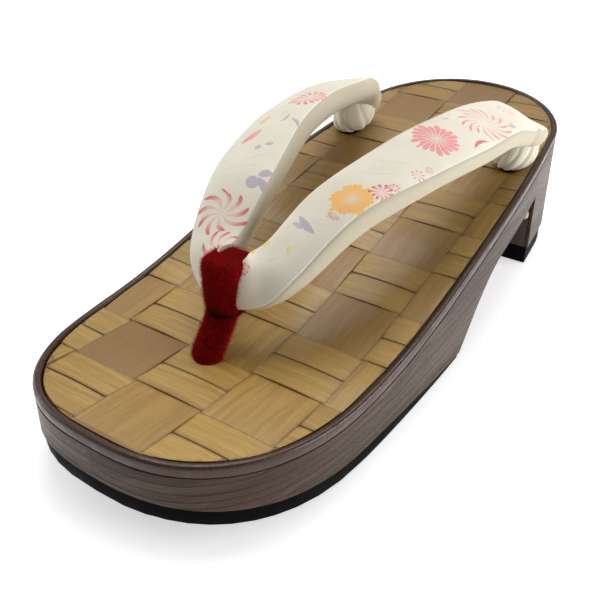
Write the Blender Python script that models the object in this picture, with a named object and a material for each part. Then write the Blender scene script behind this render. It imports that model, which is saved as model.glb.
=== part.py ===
"""Geta sandal: an arched wooden platform with a woven footbed, rubber soles and a padded cloth thong.

Metres, +Z up. The toe points along -Y and the heel along +Y. The origin is on the floor under the
middle of the footbed. The sandal is symmetric across X = 0, so it fits either foot.
"""
import bpy
import bmesh
import math
import numpy as np
from mathutils import Vector

# Overall size, measured at the footbed's edge
LENGTH = 0.240
BALL_WIDTH = 0.0936
WAIST_WIDTH = 0.0941
HEEL_WIDTH = 0.0861
HEEL_HEIGHT = 0.0517
SIDE_FLARE = 0.0013

# Outline, two rounded ends joined by gently curved sides
TOE_ROUND_LENGTH = 0.0556
TOE_POWER = 2.75
HEEL_ROUND_LENGTH = 0.0336
HEEL_POWER = 2.06
BALL_PLACE = 0.30
WAIST_PLACE = 0.55
HEEL_PLACE = 0.80

# Platform seen from the side
FRONT_FOOT_LENGTH = 0.1125
HEEL_BLOCK_LENGTH = 0.0550
WAIST_THICKNESS = 0.0137
FOOT_REAR_SLOPE = 42.0
FOOT_REAR_BLEND = 0.0080
TOE_SPRING = 0.0082
TOE_SPRING_RUN = 0.060

# Covering layers
WOVEN_THICKNESS = 0.0018
STRIP_RISE = 0.00035
WRAP_THICKNESS = 0.0010
RIM_WIDTH = 0.0022
RIM_HEIGHT = 0.0030
RIM_PROUD = 0.0004

# Woven checks: one wide lengthwise strip against a pair of crosswise strips
CHECK_ACROSS = 0.0230
CHECK_ALONG = 0.0213
CHECK_SHIFT_X = -0.0089
CHECK_SHIFT_Y = -0.0952
STRIP_EDGE = 0.0004
PAIR_GROOVE = 0.00015

# Rubber soles
FRONT_RUBBER_TOE = 0.0048
FRONT_RUBBER_REAR = 0.0018
HEEL_RUBBER = 0.0070
RUBBER_INSET = 0.0007

# Holes and knots
POST_HOLE_FROM_TOE = 0.0445
POST_HOLE_RADIUS = 0.0045
STRAP_HOLE_FROM_EDGE = 0.0098
STRAP_HOLE_RADIUS = 0.0050
KNOT_WELL_DEPTH = 0.0070
KNOT_WELL_ROOM = 0.0008
FRONT_KNOT_RADIUS = 0.0053
REAR_KNOT_RADIUS = 0.0050
REAR_KNOT_ROOM = 0.0015
KNOT_WIDENING = 1.35
KNOT_FLATTENING = 0.62
CORD_END_RADIUS = 0.0018
CORD_END_REACH = 0.0032
CORD_END_ROOT = 0.6

# Padded strap
STRAP_WIDTH = 0.0215
STRAP_THICKNESS = 0.0095
STRAP_RISE = 0.0284
GATHER_WIDTH = 0.0150
GATHER_LENGTH = 0.0200
GATHER_SHIFT = 0.0032

# Velvet loop and post
LOOP_WIDTH = 0.0122
LOOP_CORNER_POWER = 4.5
VELVET_THICKNESS = 0.0015
POST_WIDTH = 0.0098
POST_DEPTH = 0.0078

# Gap between pieces that meet
GAP = 0.0003

# Smoothness of the faceted solids
END_POINTS = 12
SIDE_POINTS = 15
SIDE_STATIONS = 32
ROW_STEPS = 3
ROUND_SIDES = 16
CORD_SIDES = 10
KNOT_SEGMENTS = 12
KNOT_RINGS = 6
SHARP_ANGLE = 35.0

# Footbed line seen from the side
# columns: share of LENGTH from the toe, share of HEEL_HEIGHT
TOP_LINE = (
    (0.00, 0.502),
    (0.10, 0.446),
    (0.20, 0.419),
    (0.30, 0.449),
    (0.40, 0.531),
    (0.50, 0.628),
    (0.60, 0.710),
    (0.70, 0.779),
    (0.80, 0.849),
    (0.90, 0.924),
    (1.00, 1.000),
)

# Sections of one strap arm, from the fold at the toe post to its end behind the rear hole
# columns: share of the way from post hole to strap hole, share of the hole's distance from the middle,
# share of STRAP_RISE above the footbed, share of STRAP_WIDTH, share of STRAP_THICKNESS,
# tilt in degrees (the outer edge drops), heading in degrees (0 runs across, 90 runs to the heel)
STRAP_ROWS = (
    (0.088, 0.000, 0.662, 0.64, 0.88, 84.0, 0.0),
    (0.108, 0.200, 0.680, 0.69, 0.92, 60.0, 26.0),
    (0.162, 0.340, 0.805, 0.79, 0.98, 20.0, 54.0),
    (0.307, 0.494, 1.058, 0.95, 1.12, 4.0, 72.0),
    (0.518, 0.713, 1.058, 1.02, 1.02, 13.9, 76.0),
    (0.706, 0.845, 0.930, 1.055, 1.05, 16.5, 81.5),
    (0.868, 0.906, 0.778, 1.055, 1.00, 14.0, 86.0),
    (0.983, 0.953, 0.577, 0.995, 1.00, 21.0, 85.0),
    (1.022, 0.994, 0.458, 0.90, 0.96, 16.0, 88.0),
    (1.062, 1.009, 0.325, 0.82, 0.90, 5.0, 90.0),
    (1.072, 1.012, 0.200, 0.66, 0.72, 0.0, 90.0),
    (1.064, 1.012, 0.115, 0.40, 0.44, 0.0, 90.0),
)

# Half section of the strap, from the middle of its printed face to the middle of its underside
# columns: share of half the width, share of half the thickness
STRAP_SECTION = (
    (0.00, 1.00),
    (0.46, 0.96),
    (0.80, 0.84),
    (0.885, 0.70),
    (0.95, 0.66),
    (1.00, 0.28),
    (0.98, -0.28),
    (0.84, -0.74),
    (0.46, -0.95),
    (0.00, -1.00),
)

# Row of the strap, counted from 0, in whose middle its gathered end is rooted
GATHER_ROW = 7

# Step along the strap, in rows, between the two points that give its direction
DIRECTION_STEP = 0.02

# Gathered strap end over its hole
# columns: share of the way from the footbed up into the strap, share of GATHER_WIDTH and GATHER_LENGTH
GATHER_ROWS = (
    (0.00, 0.78),
    (0.12, 0.95),
    (0.34, 1.04),
    (0.55, 0.92),
    (0.80, 0.52),
)

# Velvet post from its hole up to the fold of the strap
# columns: share of the way up, share of POST_WIDTH, share of POST_DEPTH
POST_ROWS = (
    (0.00, 0.94, 0.92),
    (0.10, 1.02, 1.02),
    (0.50, 1.00, 1.00),
    (0.85, 1.03, 0.95),
    (1.00, 1.04, 0.80),
)

# Velvet loop from below the strap's fold to the top of it
# columns: share of the way up, share of LOOP_WIDTH, share of the loop's depth
LOOP_ROWS = (
    (0.00, 0.84, 0.78),
    (0.07, 0.96, 0.94),
    (0.20, 1.00, 1.00),
    (0.85, 1.00, 1.00),
    (0.96, 0.95, 0.95),
    (1.00, 0.84, 0.82),
)

# Edging's section, all round from its foot at the outline
# columns: share of RIM_WIDTH inwards, share of the rim's full height
RIM_SECTION = (
    (0.00, 0.00),
    (-0.08, 0.45),
    (0.00, 0.85),
    (0.30, 1.00),
    (0.80, 1.00),
    (1.00, 0.88),
    (1.00, 0.00),
)

# Shares of a check's width at which its bow is bent
BOW_BENDS = (0.3, 0.7)

TOE_END = -LENGTH / 2
HEEL_END = LENGTH / 2
FRONT_FOOT_REAR = TOE_END + FRONT_FOOT_LENGTH
HEEL_BLOCK_FRONT = HEEL_END - HEEL_BLOCK_LENGTH
POST_HOLE_Y = TOE_END + POST_HOLE_FROM_TOE
STRAP_HOLE_Y = HEEL_BLOCK_FRONT - REAR_KNOT_RADIUS - REAR_KNOT_ROOM
KNOT_WELL_RADIUS = FRONT_KNOT_RADIUS * KNOT_WIDENING + CORD_END_REACH + KNOT_WELL_ROOM

# Helper solids reach this far from the origin, clear of everything
REACH = LENGTH
# The curved top and tread run this far past both ends of the sandal, before they are trimmed
OVERRUN = LENGTH / 16


def smooth_row(table, place):
    """Row of a table at a place counted in rows, on a smooth curve through the rows."""
    rows = np.array(table, float)
    last = len(rows) - 1
    first = int(min(max(math.floor(place), 0), last - 1))
    before = rows[first - 1] if first > 0 else 2 * rows[0] - rows[1]
    after = rows[first + 2] if first + 2 <= last else 2 * rows[last] - rows[last - 1]
    start, end = rows[first], rows[first + 1]
    share = place - first
    slope_start = (end - before) / 2
    slope_end = (after - start) / 2
    square, cube = share ** 2, share ** 3
    return ((2 * cube - 3 * square + 1) * start + (cube - 2 * square + share) * slope_start
            + (3 * square - 2 * cube) * end + (cube - square) * slope_end)


def top_height(y):
    """Height of the footbed above the floor."""
    place = (y - TOE_END) / LENGTH * (len(TOP_LINE) - 1)
    return smooth_row(TOP_LINE, min(max(place, 0), len(TOP_LINE) - 1))[1] * HEEL_HEIGHT


def ground_height(y):
    """Height of the tread above the floor: flat under the ball, rising to the toe."""
    return TOE_SPRING * min(max((TOE_END + TOE_SPRING_RUN - y) / TOE_SPRING_RUN, 0), 1) ** 2


def front_rubber_thickness(y):
    """The front rubber is full at the toe bend and thins to the rear of the front foot."""
    bend = TOE_END + TOE_SPRING_RUN
    share = min(max((y - bend) / (FRONT_FOOT_REAR - bend), 0), 1)
    return FRONT_RUBBER_TOE + (FRONT_RUBBER_REAR - FRONT_RUBBER_TOE) * share


def half_width(y):
    """Half width of the footbed, a parabola through the three named widths."""
    places = (BALL_PLACE, WAIST_PLACE, HEEL_PLACE)
    widths = (BALL_WIDTH, WAIST_WIDTH, HEEL_WIDTH)
    share = (y - TOE_END) / LENGTH
    total = 0
    for i, place in enumerate(places):
        others = [other for other in places if other != place]
        weight = math.prod((share - other) / (place - other) for other in others)
        total += weight * widths[i]
    return total / 2


def strap_hole_x():
    """Distance of a rear hole from the middle line."""
    return half_width(STRAP_HOLE_Y) - STRAP_HOLE_FROM_EDGE


def flare(z):
    """How far the side stands outside the named widths at a height."""
    return SIDE_FLARE * (1 - z / HEEL_HEIGHT)


def outline(inset, height):
    """Closed loop of (x, y) round the platform, moved inwards, at a height that may follow y."""
    toe_centre = TOE_END + TOE_ROUND_LENGTH
    heel_centre = HEEL_END - HEEL_ROUND_LENGTH
    side = []
    for i in range(END_POINTS + 1):
        angle = math.pi / 2 * i / END_POINTS
        y = toe_centre - TOE_ROUND_LENGTH * math.cos(angle) ** (2 / TOE_POWER)
        side.append((math.sin(angle) ** (2 / TOE_POWER) * half_width(y), y))
    for i in range(1, SIDE_POINTS):
        y = toe_centre + (heel_centre - toe_centre) * i / SIDE_POINTS
        side.append((half_width(y), y))
    for i in range(END_POINTS + 1):
        angle = math.pi / 2 * i / END_POINTS
        y = heel_centre + HEEL_ROUND_LENGTH * math.sin(angle) ** (2 / HEEL_POWER)
        side.append((max(math.cos(angle), 0) ** (2 / HEEL_POWER) * half_width(y), y))
    side[-1] = (0.0, HEEL_END)
    loop = side + [(-x, y) for x, y in reversed(side[1:-1])]
    moved = []
    for i, (x, y) in enumerate(loop):
        before = Vector(loop[i - 1])
        after = Vector(loop[(i + 1) % len(loop)])
        along = (after - before).normalized()
        inwards = inset - flare(height(y))
        moved.append((x - along.y * inwards, y + along.x * inwards))
    return moved


def new_object(name, bm, material, smooth=True):
    """Object from a bmesh, with its material and soft shading between sharp edges."""
    bmesh.ops.recalc_face_normals(bm, faces=bm.faces)
    mesh = bpy.data.meshes.new(name)
    bm.to_mesh(mesh)
    bm.free()
    if smooth:
        mesh.shade_smooth()
        mesh.set_sharp_from_angle(angle=math.radians(SHARP_ANGLE))
    obj = bpy.data.objects.new(name, mesh)
    bpy.context.scene.collection.objects.link(obj)
    if material is not None:
        mesh.materials.append(material)
    return obj


def as_cutter(obj):
    """A helper solid that only shapes others."""
    obj.hide_render = True
    obj.display_type = "WIRE"
    return obj


def combine(target, operation, other):
    """Exact Boolean of the target with a helper solid, applied at once."""
    modifier = target.modifiers.new(operation.title(), "BOOLEAN")
    modifier.operation = operation
    modifier.solver = "EXACT"
    modifier.object = as_cutter(other)
    bpy.context.view_layer.update()
    graph = bpy.context.evaluated_depsgraph_get()
    shaped = bpy.data.meshes.new_from_object(target.evaluated_get(graph))
    target.modifiers.remove(modifier)
    target.data = shaped
    shaped.shade_smooth()
    shaped.set_sharp_from_angle(angle=math.radians(SHARP_ANGLE))
    bpy.data.objects.remove(other)
    return target


def loft(rings, closed_ends=True):
    """Bmesh skin over rings of points, each ring with the same number of points."""
    bm = bmesh.new()
    loops = [[bm.verts.new(point) for point in ring] for ring in rings]
    for lower, upper in zip(loops, loops[1:]):
        for i in range(len(lower)):
            j = (i + 1) % len(lower)
            bm.faces.new((lower[i], lower[j], upper[j], upper[i]))
    if closed_ends:
        bm.faces.new(tuple(reversed(loops[0])))
        bm.faces.new(tuple(loops[-1]))
    return bm


def circle(x, y, z, radius_x, radius_y):
    """Level ring of points, round or oval."""
    turn = [2 * math.pi * i / ROUND_SIDES for i in range(ROUND_SIDES)]
    return [(x + radius_x * math.cos(a), y + radius_y * math.sin(a), z) for a in turn]


def outline_prism(name, inset):
    """Tall helper prism over the outline, flaring towards the floor as the platform does."""
    rings = []
    for z in (-REACH, REACH):
        rings.append([(x, y, z) for x, y in outline(inset, lambda place, level=z: level)])
    return new_object(name, loft(rings), None)


def side_profile(name, line, material=None):
    """Solid of a closed (y, z) line drawn from the side, wider than the sandal."""
    rings = [[(x, y, z) for y, z in line] for x in (-REACH, REACH)]
    return new_object(name, loft(rings), material)


def stations(start, end):
    """Places along the sandal where the curved top and tread are bent."""
    step = (LENGTH + 2 * OVERRUN) / SIDE_STATIONS
    grid = [TOE_END - OVERRUN + step * i for i in range(SIDE_STATIONS + 1)]
    inner = [y for y in grid if start + GAP < y < end - GAP]
    return [start] + inner + [end]


def underside(y):
    """Height of the platform's lower surface, above its rubber or the open waist."""
    foot = ground_height(y) + front_rubber_thickness(y) + GAP
    if y <= FRONT_FOOT_REAR:
        return foot
    if y >= HEEL_BLOCK_FRONT:
        return HEEL_RUBBER + GAP
    slope = math.tan(math.radians(FOOT_REAR_SLOPE))
    ramp = foot + (y - FRONT_FOOT_REAR) * slope
    waist = top_height(y) - WAIST_THICKNESS
    blend = max(FOOT_REAR_BLEND - abs(ramp - waist), 0) / FOOT_REAR_BLEND
    return min(ramp, waist) - blend ** 2 * FOOT_REAR_BLEND / 4


def platform_line(drop):
    """Side view of the platform as a closed (y, z) line, its top lowered by drop."""
    front, rear = TOE_END - OVERRUN, HEEL_END + OVERRUN
    line = [(y, underside(y)) for y in stations(front, FRONT_FOOT_REAR)]
    waist = stations(FRONT_FOOT_REAR, HEEL_BLOCK_FRONT)
    line += [(y, underside(min(y, HEEL_BLOCK_FRONT - GAP))) for y in waist[1:]]
    line += [(HEEL_BLOCK_FRONT, underside(HEEL_BLOCK_FRONT)), (rear, underside(HEEL_END))]
    line += [(y, top_height(y) - drop) for y in reversed(stations(front, rear))]
    return line


def drill(target, x, y, radius, top=REACH):
    """Round hole into a target from far below it up to a height."""
    rings = [circle(x, y, z, radius, radius) for z in (-REACH, top)]
    return combine(target, "DIFFERENCE", new_object("drill", loft(rings), None))


def strap_holes():
    """Places of the post hole and the two strap holes, with their radii."""
    return (
        (0.0, POST_HOLE_Y, POST_HOLE_RADIUS),
        (strap_hole_x(), STRAP_HOLE_Y, STRAP_HOLE_RADIUS),
        (-strap_hole_x(), STRAP_HOLE_Y, STRAP_HOLE_RADIUS),
    )


def knot_well_roof():
    """Height of the flat roof of the well that hides the front knot."""
    return underside(POST_HOLE_Y) + KNOT_WELL_DEPTH


def build_wood_body(material):
    """Platform with a raised seat for the footbed, a shoulder for the rim, and its drilled holes."""
    body = side_profile("wood_body", platform_line(WOVEN_THICKNESS + GAP), material)
    combine(body, "INTERSECT", outline_prism("block", WRAP_THICKNESS + GAP))
    front, rear = TOE_END - OVERRUN, HEEL_END + OVERRUN
    above = [(y, top_height(y) - RIM_HEIGHT - GAP) for y in stations(front, rear)]
    shoulder = side_profile("shoulder", above + [(rear, REACH / 2), (front, REACH / 2)])
    combine(shoulder, "DIFFERENCE", outline_prism("seat", RIM_WIDTH + GAP))
    combine(body, "DIFFERENCE", shoulder)
    for x, y, radius in strap_holes():
        drill(body, x, y, radius)
    return drill(body, 0.0, POST_HOLE_Y, KNOT_WELL_RADIUS, knot_well_roof())


def build_side_wrap(material):
    """Thin covering round the side, from under the rim to the platform's lower edge."""
    wrap = side_profile("side_wrap", platform_line(RIM_HEIGHT + GAP), material)
    combine(wrap, "INTERSECT", outline_prism("wrap_outside", 0.0))
    combine(wrap, "DIFFERENCE", outline_prism("wrap_inside", WRAP_THICKNESS))
    return wrap


def build_edge_rim(material):
    """Edging swept round the footbed, standing a little proud, with a rounded top."""
    base = outline(0.0, top_height)
    rings = []
    for inward, upward in RIM_SECTION:
        ring = []
        for (x, y), (_, base_y) in zip(outline(inward * RIM_WIDTH, top_height), base):
            foot = top_height(base_y) - RIM_HEIGHT
            ring.append((x, y, foot + upward * (RIM_HEIGHT + RIM_PROUD)))
        rings.append(ring)
    bm = loft(rings, closed_ends=False)
    bm.verts.ensure_lookup_table()
    count = len(base)
    last = (len(RIM_SECTION) - 1) * count
    for i in range(count):
        j = (i + 1) % count
        bm.faces.new((bm.verts[last + i], bm.verts[last + j], bm.verts[j], bm.verts[i]))
    return new_object("edge_rim", bm, material)


def check_lines(shift, pitch, reach):
    """Boundaries of the woven checks along one direction."""
    first = math.floor((-reach - shift) / pitch)
    last = math.ceil((reach - shift) / pitch)
    return [shift + pitch * i for i in range(first, last + 1)]


def weave_height(x, y):
    """Rise of the woven surface: each strip bows up between the strips that it dives under."""
    column = math.floor((x - CHECK_SHIFT_X) / CHECK_ACROSS)
    row = math.floor((y - CHECK_SHIFT_Y) / CHECK_ALONG)
    across = (x - CHECK_SHIFT_X) / CHECK_ACROSS - column - 0.5
    along = (y - CHECK_SHIFT_Y) / CHECK_ALONG - row - 0.5
    if (column + row) % 2:
        return STRIP_RISE * (1 - (2 * along) ** 2)
    bow = STRIP_RISE * (1 - (2 * across) ** 2)
    in_groove = abs(along) * CHECK_ALONG < STRIP_EDGE / 2
    return bow - (PAIR_GROOVE if in_groove else 0)


def build_woven_top(material):
    """Footbed wall whose upper face carries the checker weave."""
    loop = outline(RIM_WIDTH + GAP, top_height)
    bm = bmesh.new()
    bm.faces.new([bm.verts.new((x, y, 0)) for x, y in loop])
    for y in stations(TOE_END, HEEL_END)[1:-1]:
        bmesh.ops.bisect_plane(bm, geom=bm.verts[:] + bm.edges[:] + bm.faces[:], dist=1e-7,
                               plane_co=(0, y, 0), plane_no=(0, 1, 0))
    raised = bmesh.ops.extrude_face_region(bm, geom=bm.faces[:])["geom"]
    upper = [item for item in raised if isinstance(item, bmesh.types.BMFace)]
    for vert in {vert for face in upper for vert in face.verts}:
        vert.co.z = 1.0

    def score(axis, place):
        """Cut the upper face across one axis."""
        normal = Vector((1, 0, 0)) if axis == 0 else Vector((0, 1, 0))
        faces = [face for face in bm.faces if min(vert.co.z for vert in face.verts) > 0.5]
        edges = {edge for face in faces for edge in face.edges}
        verts = {vert for face in faces for vert in face.verts}
        bmesh.ops.bisect_plane(bm, geom=list(verts) + list(edges) + faces, dist=1e-7,
                               plane_co=normal * place, plane_no=normal)

    for place in check_lines(CHECK_SHIFT_X, CHECK_ACROSS, BALL_WIDTH / 2):
        bends = [CHECK_ACROSS * share for share in BOW_BENDS]
        for cut in [STRIP_EDGE / 2] + bends + [CHECK_ACROSS - STRIP_EDGE / 2]:
            score(0, place + cut)
    for place in check_lines(CHECK_SHIFT_Y, CHECK_ALONG, LENGTH / 2):
        middle = place + CHECK_ALONG / 2
        cuts = (place + STRIP_EDGE / 2, middle - STRIP_EDGE, middle, middle + STRIP_EDGE,
                place + CHECK_ALONG - STRIP_EDGE / 2)
        for cut in cuts:
            score(1, cut)
    for vert in bm.verts:
        x, y = vert.co.x, vert.co.y
        top = top_height(y)
        if vert.co.z > 0.5:
            vert.co.z = top + weave_height(x, y) - STRIP_RISE
        else:
            vert.co.z = top - WOVEN_THICKNESS
    top = new_object("woven_top", bm, material, smooth=False)
    for x, y, radius in strap_holes():
        drill(top, x, y, radius)
    return top


def rubber_line(start, end, lower, upper):
    """Side view of a rubber sole between two places along the sandal."""
    line = [(y, lower(y)) for y in stations(start, end)]
    line += [(y, upper(y)) for y in reversed(stations(start, end))]
    return line


def build_front_rubber(material):
    """Wedge of rubber under the front foot, with a window for the knot."""
    line = rubber_line(TOE_END - OVERRUN, FRONT_FOOT_REAR, ground_height,
                       lambda y: ground_height(y) + front_rubber_thickness(y))
    sole = side_profile("front_sole_rubber", line, material)
    combine(sole, "INTERSECT", outline_prism("front_outline", RUBBER_INSET))
    return drill(sole, 0.0, POST_HOLE_Y, KNOT_WELL_RADIUS)


def build_heel_rubber(material):
    """Flat rubber pad under the heel block."""
    line = rubber_line(HEEL_BLOCK_FRONT + RUBBER_INSET, HEEL_END + OVERRUN, lambda y: 0.0,
                       lambda y: HEEL_RUBBER)
    sole = side_profile("heel_sole_rubber", line, material)
    return combine(sole, "INTERSECT", outline_prism("heel_outline", RUBBER_INSET))


def strap_centre(place):
    """Middle of the strap's section at a place counted in rows of its table."""
    if place < 0:
        mirrored = strap_centre(-place)
        return Vector((-mirrored.x, mirrored.y, mirrored.z))
    rows = ((STRAP_ROWS[1][0], -STRAP_ROWS[1][1]) + STRAP_ROWS[1][2:],) + STRAP_ROWS
    row = smooth_row(rows, place + 1)
    y = POST_HOLE_Y + (STRAP_HOLE_Y - POST_HOLE_Y) * row[0]
    return Vector((row[1] * strap_hole_x(), y, top_height(y) + row[2] * STRAP_RISE))


def strap_ring(place, grow=0.0):
    """Section of the strap at a place, its skin moved outwards by grow."""
    row = smooth_row(STRAP_ROWS, place)
    tilt, heading = math.radians(row[5]), math.radians(row[6])
    ahead, behind = strap_centre(place + DIRECTION_STEP), strap_centre(place - DIRECTION_STEP)
    along = (ahead - behind).normalized()
    if place == 0:
        along = Vector((1, 0, 0))
    level = Vector((math.sin(heading), -math.cos(heading), 0))
    across = level * math.cos(tilt) - Vector((0, 0, 1)) * math.sin(tilt)
    across = (across - along * across.dot(along)).normalized()
    up = across.cross(along)
    half_wide = row[3] * STRAP_WIDTH / 2 + grow
    half_thick = row[4] * STRAP_THICKNESS / 2 + grow
    inner = tuple((-wide, thick) for wide, thick in reversed(STRAP_SECTION[1:-1]))
    centre = strap_centre(place)
    return [centre + across * wide * half_wide + up * thick * half_thick
            for wide, thick in STRAP_SECTION + inner]


def strap_rings(end, grow=0.0):
    """Sections of the folded strap, from a row on its left arm to the same row on its right arm."""
    count = end * ROW_STEPS
    right = [strap_ring(end * i / count, grow) for i in range(count + 1)]
    left = [[Vector((-point.x, point.y, point.z)) for point in ring] for ring in reversed(right[1:])]
    return left + right


def rear_knot_top():
    """Height at which a rear knot bears on the sloping waist."""
    return underside(STRAP_HOLE_Y - REAR_KNOT_RADIUS) - GAP


def gather(side):
    """Gathered cloth that goes from the strap's end down into its hole and through the platform."""
    x, y = side * strap_hole_x(), STRAP_HOLE_Y
    middle = y + GATHER_SHIFT
    height = strap_centre(GATHER_ROW).z - top_height(middle) - GAP
    tail = STRAP_HOLE_RADIUS - 2 * GAP
    rings = [circle(x, y, rear_knot_top() + GAP, tail, tail)]
    rings.append([(px, py, top_height(py) + GAP / 2) for px, py, _ in circle(x, y, 0.0, tail, tail)])
    for share, size in GATHER_ROWS:
        oval = circle(x, middle, 0.0, GATHER_WIDTH / 2 * size, GATHER_LENGTH / 2 * size)
        rings.append([(px, py, top_height(py) + GAP + share * height) for px, py, _ in oval])
    return new_object("gather", loft(rings), None)


def build_thong_straps(material):
    """Padded strap, folded at the toe post, with both ends gathered into the rear holes."""
    straps = new_object("thong_straps", loft(strap_rings(len(STRAP_ROWS) - 1)), material)
    for side in (1, -1):
        combine(straps, "UNION", gather(side))
    return straps


def rounded_ring(y, z, half_wide, half_deep):
    """Level ring of points round a box with soft corners, centred across the sandal."""
    ring = []
    for i in range(ROUND_SIDES * 2):
        angle = math.pi * (i + 0.5) / ROUND_SIDES
        cosine, sine = math.cos(angle), math.sin(angle)
        wide = math.copysign(abs(cosine) ** (2 / LOOP_CORNER_POWER), cosine)
        deep = math.copysign(abs(sine) ** (2 / LOOP_CORNER_POWER), sine)
        ring.append((half_wide * wide, y + half_deep * deep, z))
    return ring


def build_toe_loop(material):
    """Velvet loop round the strap's fold, drawn down into a post that enters its hole."""
    fold = strap_centre(0)
    wall = GAP + VELVET_THICKNESS
    half_tall = STRAP_ROWS[0][3] * STRAP_WIDTH / 2 + wall
    half_deep = STRAP_ROWS[0][4] * STRAP_THICKNESS / 2 + wall
    bottom = fold.z - half_tall
    rings = [rounded_ring(fold.y, bottom + 2 * half_tall * share, LOOP_WIDTH / 2 * wide, half_deep * deep)
             for share, wide, deep in LOOP_ROWS]
    loop = new_object("toe_loop", loft(rings), material)
    foot = top_height(POST_HOLE_Y + POST_DEPTH / 2) + 2 * GAP
    neck = POST_HOLE_RADIUS - 2 * GAP
    rings = [circle(0.0, POST_HOLE_Y, z, neck, neck) for z in (knot_well_roof(), foot - GAP / 2)]
    post_top = bottom + wall
    post_lean = fold.y - half_deep + POST_DEPTH / 2 - POST_HOLE_Y
    for share, wide, deep in POST_ROWS:
        rings.append(circle(0.0, POST_HOLE_Y + post_lean * share, foot + (post_top - foot) * share,
                            POST_WIDTH / 2 * wide, POST_DEPTH / 2 * deep))
    combine(loop, "UNION", new_object("post", loft(rings), None))
    room = new_object("strap_room", loft(strap_rings(2, GAP)), None)
    return combine(loop, "DIFFERENCE", room)


def build_knot(name, x, y, top, radius, material):
    """Flattened round knot under a hole, with two short cord ends."""
    bm = bmesh.new()
    bmesh.ops.create_uvsphere(bm, u_segments=KNOT_SEGMENTS, v_segments=KNOT_RINGS, radius=radius)
    middle = top - radius * KNOT_FLATTENING
    for vert in bm.verts:
        offset = Vector((vert.co.x * KNOT_WIDENING, vert.co.y, vert.co.z * KNOT_FLATTENING))
        vert.co = Vector((x, y, middle)) + offset
    knot = new_object(name, bm, material)
    half_knot = radius * KNOT_WIDENING
    turn = [2 * math.pi * i / CORD_SIDES for i in range(CORD_SIDES)]
    for side in (1, -1):
        rings = []
        for reach in (half_knot * CORD_END_ROOT, half_knot + CORD_END_REACH):
            rings.append([(x + side * reach, y + CORD_END_RADIUS * math.cos(a),
                           middle + CORD_END_RADIUS * math.sin(a)) for a in turn])
        combine(knot, "UNION", new_object("cord_end", loft(rings), None))
    return knot


def make_material(name, colour, roughness, metallic=0.0):
    """Principled material with one colour."""
    material = bpy.data.materials.new(name)
    material.use_nodes = True
    shader = material.node_tree.nodes["Principled BSDF"]
    shader.inputs["Base Color"].default_value = (*colour, 1)
    shader.inputs["Roughness"].default_value = roughness
    shader.inputs["Metallic"].default_value = metallic
    material.diffuse_color = (*colour, 1)
    return material


def build_sandal():
    """All pieces of the sandal."""
    build_wood_body(make_material("painted wood", (0.070, 0.028, 0.014), 0.45))
    build_side_wrap(make_material("grained wrap", (0.110, 0.072, 0.052), 0.42))
    build_edge_rim(make_material("dark edging", (0.028, 0.013, 0.009), 0.28))
    build_woven_top(make_material("woven veneer", (0.430, 0.250, 0.090), 0.45))
    rubber = make_material("black rubber", (0.010, 0.010, 0.011), 0.60)
    build_front_rubber(rubber)
    build_heel_rubber(rubber)
    build_thong_straps(make_material("printed cloth", (0.830, 0.790, 0.720), 0.80))
    build_toe_loop(make_material("red velvet", (0.250, 0.002, 0.006), 0.90))
    cord = make_material("cotton cord", (0.500, 0.430, 0.320), 0.90)
    build_knot("front_knot", 0.0, POST_HOLE_Y, knot_well_roof() - GAP, FRONT_KNOT_RADIUS, cord)
    build_knot("right_knot", strap_hole_x(), STRAP_HOLE_Y, rear_knot_top(), REAR_KNOT_RADIUS, cord)
    build_knot("left_knot", -strap_hole_x(), STRAP_HOLE_Y, rear_knot_top(), REAR_KNOT_RADIUS, cord)


for old in list(bpy.data.objects):
    bpy.data.objects.remove(old)
build_sandal()
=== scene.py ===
# %% [markdown]
# # A geta sandal, dressed for its portrait
#
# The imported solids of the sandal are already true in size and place. This lesson puts the looks on
# them: veneer strips woven into a footbed, an edging strip, a grained side, rubber soles, a padded
# strap of printed crepe, a velvet toe loop and the knots underneath. Everything is in metres, with
# +Z up, the toe towards -Y and the origin on the floor under the middle of the sandal.

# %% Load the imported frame
import math
import random

import bpy
from mathutils import Matrix, Vector, noise


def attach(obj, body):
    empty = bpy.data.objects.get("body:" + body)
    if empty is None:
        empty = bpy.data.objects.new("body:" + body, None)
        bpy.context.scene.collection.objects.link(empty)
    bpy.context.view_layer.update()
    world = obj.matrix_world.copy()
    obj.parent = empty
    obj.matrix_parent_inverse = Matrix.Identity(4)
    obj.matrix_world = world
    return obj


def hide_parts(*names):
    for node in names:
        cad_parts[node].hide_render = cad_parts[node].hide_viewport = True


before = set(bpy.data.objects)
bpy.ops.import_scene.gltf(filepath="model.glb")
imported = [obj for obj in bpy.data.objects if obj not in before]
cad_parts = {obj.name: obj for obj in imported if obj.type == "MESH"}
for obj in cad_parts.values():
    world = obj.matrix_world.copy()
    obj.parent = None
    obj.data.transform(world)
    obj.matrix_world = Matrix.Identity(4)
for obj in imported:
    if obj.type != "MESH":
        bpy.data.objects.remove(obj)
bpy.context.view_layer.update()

# %% [markdown]
# ## Camera, floor and light
#
# The camera stands where the photographer held it: 34 degrees to the side of the toe and 33 degrees
# up, close enough for the toe to look large. A matrix states this at once, with the three camera
# axes as its columns. The sandal stands on a plain pale sheet. Big soft panels hang overhead, to the
# left and to the right rear. The surround is white to the camera, but lights the sandal only weakly,
# and least of all from the camera's side, which leaves the toe dark.

# %% Camera
CAMERA_PLACE = (0.11655, -0.20376, 0.15100)
CAMERA_RIGHT = (0.83021, 0.55740, 0.00759)
CAMERA_UP = (-0.30587, 0.44411, 0.84215)
CAMERA_BACK = (0.46604, -0.70148, 0.53920)
FOCAL_PIXELS = 758.61
FRAME_PIXELS = 600
SENSOR_WIDTH_MM = 36.0
LENS_SHIFT = (-0.0023, -0.0013)


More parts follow.
